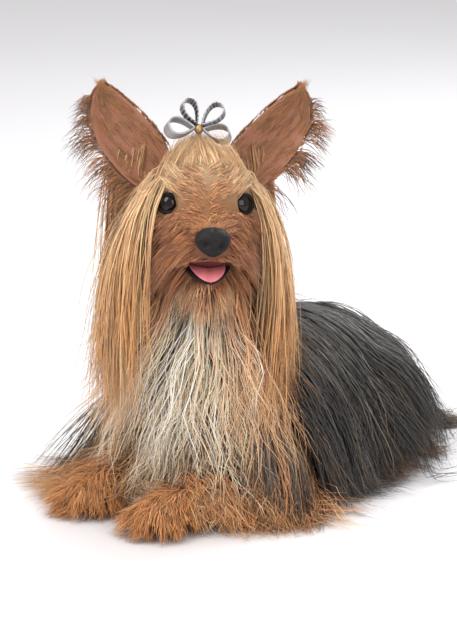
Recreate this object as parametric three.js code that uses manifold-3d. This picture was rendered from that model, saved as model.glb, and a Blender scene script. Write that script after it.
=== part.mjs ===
// A Yorkshire terrier in full coat, lying down with its head up, life size and in millimetres.
// +Z is up and the floor is at Z 0. The chest end of the body points to -Y and the dog's left side to +X.
// The origin is on the flat under the belly. The head is turned to the dog's left, towards the viewer.
import * as THREE from "three";
import Module from "manifold-3d";

const wasm = await Module();
wasm.setup();

// Driving sizes
const GAP = 0.3; // between pieces that touch
const BACK_HEIGHT = 118; // top of the shoulders, without the coat
const CHEST_HALF_WIDTH = 50;
const HEAD_CENTRE = [6, -100, 204];
const HEAD_TURN = 40; // degrees to the dog's left
const HEAD_LIFT = 8; // degrees, nose up
const HEAD_ROLL = 2.2; // degrees, left side down
const EYE_RADIUS = 9;
const EYE_PLACE = [21.8, -20.3, 3.5]; // left eye, in the head's own frame
const EYE_OUTWARD = [0.42, -0.9, 0.05]; // the way that it looks
const RIBBON_THICKNESS = 0.9;
const COAT_SEED = 15; // another seed lays every lock a little differently

const LEFT = 1;
const RIGHT = -1;
const word = (side) => (side === LEFT ? "left" : "right");
const vec = (x, y, z) => new THREE.Vector3(x, y, z);
const { lerp, clamp, degToRad: radians } = THREE.MathUtils;

// The head's own frame is the body's, turned: its nose points to -Y and its left ear is at +X.
const head = new THREE.Group();
head.position.set(...HEAD_CENTRE);
head.rotation.set(radians(-HEAD_LIFT), radians(HEAD_ROLL), radians(HEAD_TURN), "ZXY");
head.updateMatrixWorld(true);
const onHead = (x, y, z) => vec(x, y, z).applyMatrix4(head.matrixWorld);
const headWay = (x, y, z) => vec(x, y, z).transformDirection(head.matrixWorld);

// Closed surfaces

// A solid from triangles over a list of points, with its faces turned outward.
function solidFrom(points, triangles) {
  const vertProperties = new Float32Array(points.flatMap((p) => p.toArray()));
  const build = (faces) =>
    new wasm.Manifold(new wasm.Mesh({ numProp: 3, vertProperties, triVerts: new Uint32Array(faces.flat()) }));
  const solid = build(triangles);
  return solid.volume() > 0 ? solid : build(triangles.map(([a, b, c]) => [a, c, b]));
}

// A solid from rings of points, closed at each end to the ring's middle, or to the pole that is given.
// The two halves of a ring are split into triangles alike, so that the faces of a thin leaf can't cross.
function shell(rings, firstPole, lastPole) {
  const middle = (ring) => ring.reduce((sum, p) => sum.add(p), vec(0, 0, 0)).divideScalar(ring.length);
  const sides = rings[0].length;
  const points = [...rings.flat(), firstPole ?? middle(rings[0]), lastPole ?? middle(rings.at(-1))];
  const [first, last] = [points.length - 2, points.length - 1];
  const lastRing = (rings.length - 1) * sides;
  const triangles = [];
  for (let s = 0; s < sides; s++) {
    const next = (s + 1) % sides;
    triangles.push([first, next, s], [last, lastRing + s, lastRing + next]);
    for (let r = 0; r + 1 < rings.length; r++) {
      const [a, b] = [r * sides + s, r * sides + next];
      if (s < sides / 2) triangles.push([a, b, b + sides], [a, b + sides, a + sides]);
      else triangles.push([a, b, a + sides], [b, b + sides, a + sides]);
    }
  }
  return solidFrom(points, triangles);
}

// A closed band from rings of points, such as a lid or a ribbon loop.
function band(rings) {
  const [count, sides] = [rings.length, rings[0].length];
  const triangles = [];
  for (let r = 0; r < count; r++)
    for (let s = 0; s < sides; s++) {
      const [here, ahead] = [r * sides, ((r + 1) % count) * sides];
      const next = (s + 1) % sides;
      triangles.push([here + s, here + next, ahead + next], [here + s, ahead + next, ahead + s]);
    }
  return solidFrom(rings.flat(), triangles);
}

// A body form is a row of elliptical sections [x, y, z, half width, half depth], rounded shut at both ends.
// side is the direction of the half width, and place takes its points to the body's frame.
// The sections stand square to the row, or to axis where one is given, as on the trunk and the skull.
function form(side, stations, axis, place = vec, way = vec) {
  return {
    side: way(...side).normalize(),
    axis: axis && way(...axis).normalize(),
    stations: stations.map(([x, y, z, a, b]) => [...place(x, y, z), a, b]),
  };
}
const headForm = (side, stations, axis) => form(side, stations, axis, onHead, headWay);

// The form's mirror image on the other side of the body, or of the head.
const mirrored = (stations) => stations.map(([x, ...rest]) => [-x, ...rest]);

// The sections of a form at evenly spaced places, with the sizes between its stations rounded off.
function sections({ side, axis, stations }, steps) {
  const value = (k, t) => {
    const at = Math.min(Math.floor(t), stations.length - 2);
    const u = t - at;
    const [p0, p1, p2, p3] = [at - 1, at, at + 1, at + 2].map(
      (i) => stations[clamp(i, 0, stations.length - 1)][k],
    );
    const square = 2 * p0 - 5 * p1 + 4 * p2 - p3;
    const cube = 3 * p1 - p0 - 3 * p2 + p3;
    return 0.5 * (2 * p1 + (p2 - p0) * u + square * u * u + cube * u ** 3);
  };
  const rows = Array.from({ length: steps + 1 }, (_, i) => {
    const t = (i / steps) * (stations.length - 1);
    return { centre: vec(value(0, t), value(1, t), value(2, t)), a: value(3, t), b: value(4, t) };
  });
  rows.forEach((row, i) => {
    const chord = rows[Math.min(i + 1, steps)].centre.clone().sub(rows[Math.max(i - 1, 0)].centre);
    row.along = axis ? axis.clone() : chord.normalize();
    row.side = side.clone().addScaledVector(row.along, -side.dot(row.along)).normalize();
    row.up = vec(0, 0, 0).crossVectors(row.side, row.along);
  });
  return rows;
}

const CAP_RINGS = 2; // between the end of a form and its pole
const CAP_SHARE = 0.8; // length of the rounded end, of the smaller half size of its last section

function solidOf(shape, { steps = 8, sides = 16, grow = 0 } = {}) {
  const rows = sections(shape, steps);
  const ring = (row, shift, scale) =>
    Array.from({ length: sides }, (_, s) => {
      const angle = (2 * Math.PI * s) / sides;
      return row.centre
        .clone()
        .addScaledVector(row.along, shift)
        .addScaledVector(row.side, (row.a + grow) * scale * Math.cos(angle))
        .addScaledVector(row.up, (row.b + grow) * scale * Math.sin(angle));
    });
  const reach = (row) => Math.min(row.a, row.b) * CAP_SHARE + grow;
  const cap = (row, sense) =>
    Array.from({ length: CAP_RINGS }, (_, i) => {
      const angle = ((i + 1) / (CAP_RINGS + 1)) * (Math.PI / 2);
      return ring(row, sense * reach(row) * Math.sin(angle), Math.cos(angle));
    });
  const [start, end] = [rows[0], rows.at(-1)];
  return shell(
    [...cap(start, -1).reverse(), ...rows.map((row) => ring(row, 0, 1)), ...cap(end, 1)],
    start.centre.clone().addScaledVector(start.along, -reach(start)),
    end.centre.clone().addScaledVector(end.along, reach(end)),
  );
}

function ball(centre, radius, sides, grow = 0) {
  const rows = sides / 2 + 1;
  const sphere = new THREE.SphereGeometry(radius + grow, sides, rows);
  const place = sphere.getAttribute("position");
  const point = (row, s) => vec(0, 0, 0).fromBufferAttribute(place, row * (sides + 1) + s).add(centre);
  const ring = (row) => Array.from({ length: sides }, (_, s) => point(row, s));
  const rings = Array.from({ length: rows - 1 }, (_, i) => ring(i + 1));
  return shell(rings, point(0, 0), point(rows, 0));
}

// Joining and cutting

const join = (...solids) => wasm.Manifold.union(solids.flat());
const cutClear = (solid, rooms) => (rooms.length ? solid.subtract(join(rooms)) : solid);
const FLOOR_HALF = 400;
const FLOOR_DEPTH = 60;
const FLOOR_CORNERS = [[-1, -1], [1, -1], [1, 1], [-1, 1]];
const FLOOR = shell(
  [-FLOOR_DEPTH, 0].map((z) => FLOOR_CORNERS.map(([x, y]) => vec(x * FLOOR_HALF, y * FLOOR_HALF, z))),
);

// The largest closed surface of a solid.
function largest(solid) {
  const pieces = solid.decompose();
  return pieces.reduce((best, piece) => (piece.volume() > best.volume() ? piece : best));
}

const dog = new THREE.Group();
dog.add(head);

// Adds a node to the scene graph: its flesh and its coat, each cut clear of what it must not meet, fused into
// one body that ends at the floor.
function addNode(name, parent, finish, flesh, fleshRooms = [], coat = [], coatRooms = []) {
  const body = cutClear(flesh, fleshRooms);
  const fused = coat.length ? join(body, cutClear(join(coat), coatRooms)) : body;
  const { vertProperties, triVerts } = largest(fused.subtract(FLOOR)).getMesh();
  const geometry = new THREE.BufferGeometry();
  geometry.setAttribute("position", new THREE.BufferAttribute(vertProperties, 3));
  geometry.setIndex(new THREE.BufferAttribute(triVerts, 1));
  geometry.applyMatrix4(parent.matrixWorld.clone().invert());
  const [color, roughness] = finish;
  const mesh = new THREE.Mesh(geometry, new THREE.MeshStandardMaterial({ color, roughness }));
  mesh.name = name;
  parent.add(mesh);
}

// Colour and roughness
const FACE = [0x9a5a34, 0.9];
const BLOND = [0xc79a6a, 0.85];
const CREAM = [0xe3d3bf, 0.9];
const RUST = [0xa9622f, 0.9];
const STEEL = [0x45403d, 0.9];
const EYE = [0x140d0a, 0.1];
const NOSE = [0x141312, 0.35];
const TONGUE = [0xd9777f, 0.4];
const RIBBON = [0xb9b9bd, 0.4];

// Torso

const SIDEWAYS = [1, 0, 0];
const torsoForm = form(SIDEWAYS, [
  [0, -95, 60, 28, 32],
  [0, -75, BACK_HEIGHT / 2, 43, 53],
  [0, -40, BACK_HEIGHT / 2 - 1, 49, 60],
  [0, 0, 55.5, CHEST_HALF_WIDTH, 58.5],
  [0, 40, 54.5, 49, 57.5],
  [0, 70, 50.5, 47, 53.5],
  [0, 95, 42.5, 43, 44.5],
  [0, 113, 32, 31, 32],
], [0, 1, 0]);

// Legs, on the dog's left; the right hind leg is its mirror image, and the right foreleg lies straighter.

const upperArm = [
  [31, -80, 72, 14, 24],
  [40, -70, 48, 15, 22],
  [45, -62, 24, 14, 18],
];
const forearmLeft = [
  [45, -58, 20, 15, 18],
  [33, -98, 17, 13, 15],
  [20, -134, 14, 11.5, 12.5],
];
const forearmRight = [
  [-46, -50, 20, 15, 18],
  [-49, -88, 17, 13, 15],
  [-51, -122, 14, 11.5, 12.5],
];
const pawLeft = [
  [18, -141, 13.5, 12.5, 12.5],
  [13, -154, 13, 15.5, 12.5],
  [9, -164, 11.5, 15, 11],
];
const pawRight = [
  [-51.5, -129, 13.5, 12.5, 12.5],
  [-52.5, -142, 13, 15.5, 12.5],
  [-53.5, -152, 11.5, 15, 11],
];
const thigh = [
  [30, 84, 58, 20, 28],
  [46, 64, 48, 21, 33],
  [57, 42, 37, 17, 26],
  [61, 26, 30, 12, 19],
];
const shank = [
  [61, 30, 26, 10, 14],
  [62, 62, 18, 9, 12],
  [60, 94, 14, 9, 12],
];
const hindFoot = [
  [64, 58, 11, 9, 10],
  [66, 30, 10, 11, 10],
  [67, 10, 10, 13, 9.5],
];
const RIGHT_ARM_SHIFT = 8; // by which the right upper arm lies further back
const rightUpperArm = mirrored(upperArm).map(([x, y, ...rest]) => [x, y + RIGHT_ARM_SHIFT, ...rest]);
const legForm = (stations) => form(SIDEWAYS, stations);

// Neck, between the shoulders and the skull

const neckForm = form([0.94, 0.34, 0], [
  [0, -62, 84, 38, 36],
  [2, -78, 118, 33, 34],
  [4, -88, 150, 29, 31],
  [6, -96, 184, 27, 29],
]);

// Tail, curled to the dog's left

const tailForm = form([0, 0, 1], [
  [1, 112, 52, 13, 13],
  [8, 134, 36, 11, 11],
  [24, 147, 20, 9, 9],
  [44, 148, 11, 6, 6],
]);

// Head

const FORWARD = [0, -1, 0];
const skullForm = headForm(SIDEWAYS, [
  [0, 30, 2, 24, 24],
  [0, 15, 3, 34, 33],
  [0, 0, 3, 36.5, 34.5],
  [0, -14, 1, 34.5, 32],
  [0, -24, -5, 29, 25],
  [0, -31, -12, 22, 18],
  [0, -42, -17.5, 17, 13.5],
  [0, -53, -20, 14.5, 12],
  [0, -60, -20.5, 12, 9.5],
], FORWARD);
const jawForm = headForm(SIDEWAYS, [
  [0, -6, -32, 15, 8],
  [0, -20, -37.5, 14, 8],
  [0, -35, -42.5, 11.5, 7],
  [0, -46, -47, 9, 5.5],
], FORWARD);
const tongueForm = headForm(SIDEWAYS, [
  [0, -22, -32.5, 9, 2.2],
  [0, -38, -35.5, 11, 2.4],
  [0, -50, -38.5, 11.5, 2.5],
  [0, -55, -42, 9.5, 2.2],
]);
const noseForm = headForm(SIDEWAYS, [
  [0, -58, -18, 9, 7.5],
  [0, -62, -18, 11, 9.2],
  [0, -66, -18, 10.5, 8.7],
  [0, -69, -18, 7.5, 6],
]);
const nostrilForm = (side) =>
  headForm(SIDEWAYS, [
    [side * 4.6, -73, -18.6, 2.4, 2.6],
    [side * 4.9, -66, -18.2, 1.9, 2.1],
  ]);

// The lips are round rims along the edges of the mouth, from one corner to the other.
const LIP_RADIUS = 1.9;
function lip(corner, bend, front) {
  const points = [corner, bend, front, [-bend[0], bend[1], bend[2]], [-corner[0], corner[1], corner[2]]];
  return headForm([0, 0, 1], points.map((p) => [...p, LIP_RADIUS, LIP_RADIUS]));
}
const upperLip = lip([20, -18, -26], [15, -44, -29], [0, -61.5, -30]);
const lowerLip = lip([14, -16, -31.5], [10.5, -38, -38], [0, -50, -43]);

// A lid ring lies on the eyeball, where the ball comes through the skin.
const LID_REACH = 4.2; // from the ball's centre to the ring
const LID_THICKNESS = 1.7;
const LID_SEGMENTS = 8;
const LID_SIDES = 4;
const mirroredPoint = (side, [x, y, z]) => vec(side * x, y, z);
function lidRing(side) {
  const centre = mirroredPoint(side, EYE_PLACE);
  const outward = mirroredPoint(side, EYE_OUTWARD).normalize();
  const across = vec(0, 0, 1).cross(outward).normalize();
  const up = vec(0, 0, 0).crossVectors(outward, across);
  const radius = Math.sqrt(EYE_RADIUS ** 2 - LID_REACH ** 2);
  const rings = Array.from({ length: LID_SEGMENTS }, (_, i) => {
    const angle = (2 * Math.PI * i) / LID_SEGMENTS;
    const spoke = across.clone().multiplyScalar(Math.cos(angle)).addScaledVector(up, Math.sin(angle));
    return Array.from({ length: LID_SIDES }, (_, k) => {
      const turn = (2 * Math.PI * k) / LID_SIDES;
      const p = centre
        .clone()
        .addScaledVector(outward, LID_REACH + LID_THICKNESS * Math.sin(turn))
        .addScaledVector(spoke, radius + LID_THICKNESS * Math.cos(turn));
      return onHead(...p);
    });
  });
  return band(rings);
}

// An ear is a cupped leaf: its inner and outer edges in the head's X and Z, from the skull to the tip.
const EAR_INNER = [[17, 28], [22, 41], [31, 52], [43, 64], [54, 73], [61, 77.5]];
const EAR_OUTER = [[34, 6], [52, 21], [66, 38], [72.5, 56], [71, 70], [66, 77]];
const EAR_CUP = [4, 8.5, 9, 7, 4, 1]; // depth of the hollow
const EAR_ROOT_Y = 9;
const EAR_TIP_Y = 2;
const EAR_LEAN = 4; // by which the outer edge lies behind the inner one
const EAR_THICKNESS = 2.4;
const EAR_THINNING = 0.45; // share of the thickness that is lost at the tip
const EAR_EDGE = 0.45; // thickness of the edges, of the middle's
const EAR_COLUMNS = 4;

function ear(side, grow = 0) {
  const last = EAR_INNER.length - 1;
  const rings = EAR_INNER.map(([xi, zi], row) => {
    const [xo, zo] = EAR_OUTER[row];
    const y = lerp(EAR_ROOT_Y, EAR_TIP_Y, row / last);
    const thick = (EAR_THICKNESS * (1 - (EAR_THINNING * row) / last)) / 2 + grow;
    const face = (sense) =>
      Array.from({ length: EAR_COLUMNS + 1 }, (_, c) => {
        const u = c / EAR_COLUMNS;
        const edge = u === 0 || u === 1 ? EAR_EDGE : 1;
        const depth = EAR_CUP[row] * (1 - (2 * u - 1) ** 2);
        const x = lerp(xi - (u === 0 ? grow : 0), xo + (u === 1 ? grow : 0), u);
        return onHead(side * x, y + depth + sense * thick * edge + EAR_LEAN * u, lerp(zi, zo, u));
      });
    return [...face(-1), ...face(1).reverse()];
  });
  return shell(rings);
}

// Hair bow: two small loops above, two wide ones below, and the knot that ties them

const BOW_KNOT = [-3, -8, 51];
const KNOT_RADIUS = 4.2;
const KNOT_SIDES = 10;
const LOOP_STEPS = 14;
const LOOP_START = 3.4; // from the knot's middle
const LOOP_NARROWING = 0.45; // share of the ribbon's width that the knot gathers in
const BOW = [
  { name: "bow_loop_top_left", reach: [15, 0, 15], rise: 7, ribbon: 6.5 },
  { name: "bow_loop_top_right", reach: [-9, 0, 18], rise: 7, ribbon: 6.5 },
  { name: "bow_loop_low_left", reach: [20, -2, -4], rise: 7, ribbon: 9 },
  { name: "bow_loop_low_right", reach: [-21, -2, 1], rise: 8, ribbon: 9 },
];

// A ribbon loop: a teardrop band that leaves the knot, rounds its far end and comes back.
function ribbonLoop({ reach, rise, ribbon }) {
  const along = vec(...reach);
  const length = along.length();
  along.normalize();
  const across = vec(0, -1, 0.12).normalize();
  const lift = vec(0, 0, 0).crossVectors(across, along).normalize();
  const rings = Array.from({ length: LOOP_STEPS }, (_, i) => {
    const angle = (2 * Math.PI * i) / LOOP_STEPS;
    const out = (1 - Math.cos(angle)) / 2;
    const centre = vec(...BOW_KNOT)
      .addScaledVector(along, LOOP_START + (length - LOOP_START) * out)
      .addScaledVector(lift, rise * Math.sin(angle) * Math.sqrt(out));
    const normal = lift.clone().multiplyScalar(Math.sin(angle) * 0.9 + 0.001);
    normal.addScaledVector(along, -Math.cos(angle)).normalize();
    const half = (ribbon / 2) * (1 - LOOP_NARROWING * (1 - out));
    const thick = RIBBON_THICKNESS / 2;
    return [[half, thick], [half, -thick], [-half, -thick], [-half, thick]].map(([w, t]) =>
      onHead(...centre.clone().addScaledVector(across, w).addScaledVector(normal, t)),
    );
  });
  return band(rings);
}

const knot = (grow) => ball(onHead(...BOW_KNOT), KNOT_RADIUS, KNOT_SIDES, grow);

// Locks of hair

let state = COAT_SEED;
// An even draw from 0 to 1, the same on every run.
function chance() {
  state = (state * 1664525 + 1013904223) % 4294967296;
  return state / 4294967296;
}
const about = (value, spread = 0.12) => value * (1 + spread * (2 * chance() - 1));

const ROWS = 16; // sections in which a form is felt by the hair that lies on it
const rowsOf = (shape) => (shape.rows ??= sections(shape, ROWS));

// The place on a form's skin at t along its row and at an angle in degrees from its side, with the way out.
function onSkin(shape, t, angle) {
  const rows = rowsOf(shape);
  const at = clamp(t, 0, 1) * ROWS;
  const [low, high] = [rows[Math.floor(at)], rows[Math.min(Math.floor(at) + 1, ROWS)]];
  const u = at - Math.floor(at);
  const [cos, sin] = [Math.cos(radians(angle)), Math.sin(radians(angle))];
  const [a, b] = [lerp(low.a, high.a, u), lerp(low.b, high.b, u)];
  const centre = low.centre.clone().lerp(high.centre, u);
  const spot = centre.addScaledVector(low.side, a * cos).addScaledVector(low.up, b * sin);
  const out = low.side.clone().multiplyScalar(cos / a).addScaledVector(low.up, sin / b).normalize();
  return { spot, out };
}

// How far a point is from a form's skin, and the way out of it.
function offSkin(shape, p) {
  let best = { k: Infinity };
  const rows = rowsOf(shape);
  for (let i = 0; i < ROWS; i++) {
    const [low, high] = [rows[i], rows[i + 1]];
    const step = high.centre.clone().sub(low.centre);
    const t = clamp(p.clone().sub(low.centre).dot(step) / step.lengthSq(), 0, 1);
    const q = p.clone().sub(low.centre).addScaledVector(step, -t);
    const [a, b] = [lerp(low.a, high.a, t), lerp(low.b, high.b, t)];
    const end = Math.min(a, b) * CAP_SHARE;
    const parts = [q.dot(low.side), q.dot(low.up), q.dot(low.along)];
    const k = Math.hypot(parts[0] / a, parts[1] / b, parts[2] / end);
    if (k < best.k) {
      const out = low.side.clone().multiplyScalar(parts[0] / a ** 2);
      out.addScaledVector(low.up, parts[1] / b ** 2).addScaledVector(low.along, parts[2] / end ** 2);
      best = { k, distance: q.length() * (1 - 1 / k), out: out.normalize() };
    }
  }
  return best;
}

const ROOT_DEPTH = 4; // how deep a lock's root is sunk
const FLOOR_LIFT = 2; // middle line of the lowest locks that lie on the floor
const FLOOR_SHARE = 0.45; // how much of its lift a lock keeps where it lies on the floor
const FLOOR_REACH = 12; // height under which a lock starts to lie flat on the floor
const SHORT_LOCK = 50; // locks under this length bend in fewer places
const SUB_STEPS = 4; // in which each piece of a lock is combed
const LIFT_SHARE = 0.12; // share of a lock's length in which it rises to its lift
const OVERLAP = 2.9; // between the middle lines of locks that lie over one another
const LOCK_PROFILE = [0.7, 1, 0.95, 0.8, 0.62, 0.4]; // width along a lock, before its tip
const LOCK_THINNING = 0.4; // share of the thickness that is lost at the tip
const FINE = 2.4; // thickness of a short lock

// The middle line of a lock: it leaves the skin along the lie, turns to the pull, keeps its lift above the
// forms under it, and slides on along the floor.
function lockLine({ spot, out }, { way, pull, turn = 0.8, length, lift = 4, under = [] }) {
  const pieces = length < SHORT_LOCK ? 3 : 4;
  const direction = vec(...way).normalize();
  const points = [spot.clone().addScaledVector(out, -ROOT_DEPTH)];
  const normals = [out.clone()];
  const step = length / (pieces * SUB_STEPS);
  const p = spot.clone();
  const resting = FLOOR_LIFT + FLOOR_SHARE * lift;
  for (let i = 1; i <= pieces * SUB_STEPS; i++) {
    const before = p.clone();
    const target = vec(...pull).normalize();
    if (p.z <= resting + 0.1) target.set(pull[0], pull[1], 0).normalize();
    direction.lerp(target, turn / SUB_STEPS).normalize();
    p.addScaledVector(direction, step);
    const rise = Math.min(1, i / (pieces * SUB_STEPS * LIFT_SHARE));
    let nearest = { distance: Infinity, out };
    for (const [shape, extra = 0] of under) {
      const off = offSkin(shape, p);
      const short = (lift + extra) * rise - off.distance;
      if (short > 0) p.addScaledVector(off.out, short);
      if (off.distance < nearest.distance) nearest = off;
    }
    p.z = Math.max(p.z, resting);
    if (p.distanceTo(before) > 1e-6) direction.copy(p.clone().sub(before).normalize());
    if (i % SUB_STEPS === 0) {
      const normal = normals.at(-1).clone().add(nearest.out);
      if (p.z < FLOOR_REACH) normal.lerp(vec(0, 0, 1), 1 - p.z / FLOOR_REACH);
      points.push(p.clone());
      normals.push(normal.normalize());
    }
  }
  return { points, normals };
}

// A lock as a closed solid: a lens-shaped section that lies flat on the form, widest in its upper half, and
// drawn out to a point. Grown to a clearance, it also takes in the twist between its sections.
function lockSolid(line, { width, thickness = 2.8 }, grow) {
  const { points, normals } = line;
  const last = points.length - 1;
  const rings = points.slice(0, -1).map((p, i) => {
    const along = points[i + 1].clone().sub(points[Math.max(i - 1, 0)]).normalize();
    const across = vec(0, 0, 0).crossVectors(along, normals[i]).normalize();
    const up = vec(0, 0, 0).crossVectors(across, along);
    const u = (i / last) * (LOCK_PROFILE.length - 1);
    const [low, high] = [Math.floor(u), Math.min(Math.floor(u) + 1, LOCK_PROFILE.length - 1)];
    const half = (width / 2) * lerp(LOCK_PROFILE[low], LOCK_PROFILE[high], u - low) + grow * 2;
    const thick = (thickness / 2) * (1 - (LOCK_THINNING * i) / last) + grow * 3;
    return [[half, 0], [0, thick], [-half, 0], [0, -thick]].map(([x, y]) =>
      p.clone().addScaledVector(across, x).addScaledVector(up, y),
    );
  });
  const tipWay = points[last].clone().sub(points[last - 1]).normalize();
  const root = points[0].clone().addScaledVector(normals[0], -1 - 3 * grow);
  return shell(rings, root, points[last].clone().addScaledVector(tipWay, grow * 3));
}

// A coat is the list of its locks, laid once and then built at its own size or grown to a clearance.
const layLock = (root, shape) => ({ line: lockLine(root, shape), shape });
const coatSolids = (coat, grow = 0) => coat.map(({ line, shape }) => lockSolid(line, shape, grow));

// Coat of the trunk: tiers of locks from the spine down each flank, swept back and out on the floor
const TIERS = [
  { angle: 72, lift: 13, length: 170, width: 40, count: 6, from: 0.26, to: 0.93 },
  { angle: 38, lift: 7.5, length: 146, width: 40, count: 5, from: 0.24, to: 0.95 },
  { angle: 6, lift: 3, length: 114, width: 36, count: 5, from: 0.24, to: 0.94 },
];
const BACK_SHORTENING = 0.12; // share by which the locks are shorter and lower at the rump
const BACK_SWEEP = [0.08, 0.75]; // how far back the locks are combed, at the shoulder and at the rump
const ANGLE_DOUBT = 5; // degrees
const bodySide = (side, stations) => legForm(side === LEFT ? stations : mirrored(stations));
const turnedTo = (side, angle) => (side === LEFT ? angle : 180 - angle);
function torsoCoat() {
  const coat = [];
  for (const side of [LEFT, RIGHT]) {
    const under = [[torsoForm], ...[thigh, shank, hindFoot].map((s) => [bodySide(side, s), 1])];
    under.push([bodySide(side, upperArm), 3]);
    for (const tier of TIERS)
      for (let i = 0; i < tier.count; i++) {
        const share = i / (tier.count - 1);
        const shorter = 1 - BACK_SHORTENING * share;
        const angle = tier.angle * shorter + ANGLE_DOUBT * (chance() - 0.5);
        const root = onSkin(torsoForm, lerp(tier.from, tier.to, share), turnedTo(side, angle));
        const sweep = lerp(...BACK_SWEEP, share);
        coat.push(
          layLock(root, {
            way: [side * 0.8, sweep * 0.6, -0.1],
            pull: [side * about(0.16, 0.4), sweep * about(0.42, 0.5), -1],
            length: about(tier.length * shorter),
            width: about(tier.width),
            lift: tier.lift + (i % 2) * OVERLAP,
            under,
          }),
        );
      }
  }
  // Down the rump, to both sides of the tail
  for (const angle of [30, 60, 120, 150])
    coat.push(
      layLock(onSkin(torsoForm, 0.99, angle), {
        way: [Math.cos(radians(angle)), 1, 0.2],
        pull: [Math.cos(radians(angle)) * 0.6, 0.45, -1],
        length: about(92),
        width: about(26),
        lift: 6,
        under: [[torsoForm]],
      }),
    );
  return coat;
}

// Coat of the neck: the long bib down the chest, and the nape
const BIB_ANGLES = [46, 75, 105, 134];
const BIB_TIERS = [[0.86, 108, 8.5], [0.55, 88, 2.8]]; // place along the neck, length and lift
const NAPE_ANGLES = [236, 270, 304];
function neckCoat() {
  const coat = [];
  const under = [[neckForm], [torsoForm, 1], [legForm(forearmLeft), 3], [legForm(forearmRight), 3]];
  BIB_TIERS.forEach(([t, length, lift], tier) =>
    BIB_ANGLES.forEach((angle, i) => {
      const across = (2 * i) / (BIB_ANGLES.length - 1) - 1;
      coat.push(
        layLock(onSkin(neckForm, t, angle + (tier ? 10 : 0)), {
          way: [0.1 - across * 0.35, -0.55, -0.75],
          pull: [-0.22 - across * 0.12, -0.05, -1],
          turn: 0.6,
          length: about(length),
          width: about(26),
          lift: lift + (i % 2) * OVERLAP,
          under,
        }),
      );
    }),
  );
  for (const angle of NAPE_ANGLES)
    coat.push(
      layLock(onSkin(neckForm, 0.62, angle), {
        way: [(angle - 270) / 60, 0.7, -0.6],
        pull: [(angle - 270) / 70, 0.45, -1],
        length: about(74),
        width: about(26),
        lift: 9,
        under: [[neckForm], [torsoForm, 9]],
      }),
    );
  return coat;
}

// A fall of long hair hangs from each side of the head, over the neck and the shoulder.
const fallBase = (side) =>
  headForm([0, 1, 0], [
    [side * 33, -3, 24, 9, 5],
    [side * 39, -3, 8, 13, 5],
    [side * 39, -4, -10, 13, 5],
    [side * 34, -6, -22, 9, 5],
  ]);
// Place down the base, degrees to the front, and length
const FALL_ROOTS = [
  [0.06, -35, 168],
  [0.14, 30, 160],
  [0.36, -5, 158],
  [0.42, 58, 140],
  [0.5, -58, 132],
  [0.66, 15, 134],
  [0.9, -20, 100],
];
function fallCoat(side) {
  const base = fallBase(side);
  const under = [[skullForm, -3], [neckForm], [torsoForm, 9], [bodySide(side, upperArm), 2]];
  return FALL_ROOTS.map(([t, angle, length], i) => {
    const out = headWay(side, 0, 0);
    const forward = headWay(0, -1, 0);
    const spread = (angle / 60) * 0.12;
    const flare = side === LEFT ? -0.12 : 0.04;
    return layLock(onSkin(base, t, 180 + side * (90 - angle)), {
      way: [out.x * 0.3 - forward.x * spread, out.y * 0.3 - forward.y * spread, -0.9],
      pull: [out.x * flare - forward.x * spread, out.y * flare - forward.y * spread, -1],
      length: about(length, 0.08),
      width: about(22),
      lift: 9 + (i % 4) * OVERLAP,
      under,
    });
  });
}

// Coat of the head: the crown is drawn up to the bow, the cheeks and the whisker beds hang down
const KNOT_FOOT = [BOW_KNOT[0], BOW_KNOT[1] + 2, BOW_KNOT[2] - 9];
// Places along the skull and round it, in degrees
const CROWN_ROOTS = [[0.52, 240], [0.56, 270], [0.52, 300], [0.32, 230], [0.32, 310], [0.12, 270]];
// Place along the skull, degrees down from its side, length and width
const CHEEK_ROOTS = [
  [0.92, 30, 24, 11],
  [0.82, 24, 30, 13],
  [0.7, 14, 36, 14],
  [0.6, 34, 42, 17],
  [0.46, 44, 48, 18],
];
const HEAD_BACK_ANGLES = [228, 270, 312];
function headCoat() {
  const coat = [];
  const foot = onHead(...KNOT_FOOT);
  for (const [t, angle] of CROWN_ROOTS) {
    const root = onSkin(skullForm, t, angle);
    const way = foot.clone().sub(root.spot);
    coat.push(
      layLock(root, {
        way: way.toArray(),
        pull: way.toArray(),
        length: way.length() * 0.84,
        width: about(15),
        lift: 3,
        under: [[skullForm]],
      }),
    );
  }
  for (const side of [LEFT, RIGHT])
    for (const [t, angle, length, width] of CHEEK_ROOTS) {
      const way = headWay(side * 0.75, 0.25, -0.7);
      coat.push(
        layLock(onSkin(skullForm, t, turnedTo(side, angle)), {
          way: way.toArray(),
          pull: [way.x * 0.25, way.y * 0.25, -1],
          length: about(length),
          width: about(width),
          thickness: FINE,
          lift: 3,
          under: [[skullForm], [jawForm, 1], [neckForm]],
        }),
      );
    }
  for (const angle of HEAD_BACK_ANGLES) {
    const way = headWay((angle - 270) / 90, 0.6, -0.8);
    coat.push(
      layLock(onSkin(skullForm, 0.03, angle), {
        way: way.toArray(),
        pull: [way.x * 0.2, way.y * 0.2, -1],
        length: about(72),
        width: about(20),
        lift: 3,
        under: [[skullForm], [neckForm, 4]],
      }),
    );
  }
  return coat;
}
const BEARD_ROOTS = [[0.9, 60], [0.9, 120], [0.62, 90], [0.5, 35], [0.5, 145]];
function jawCoat() {
  return BEARD_ROOTS.map(([t, angle]) => {
    const way = headWay(Math.cos(radians(angle)), -0.2, -0.9);
    return layLock(onSkin(jawForm, t, angle), {
      way: way.toArray(),
      pull: headWay(Math.cos(radians(angle)) * 0.3, 0.35, -1).toArray(),
      length: about(26),
      width: about(10),
      thickness: FINE,
      lift: 2,
      under: [[jawForm], [neckForm]],
    });
  });
}

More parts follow.
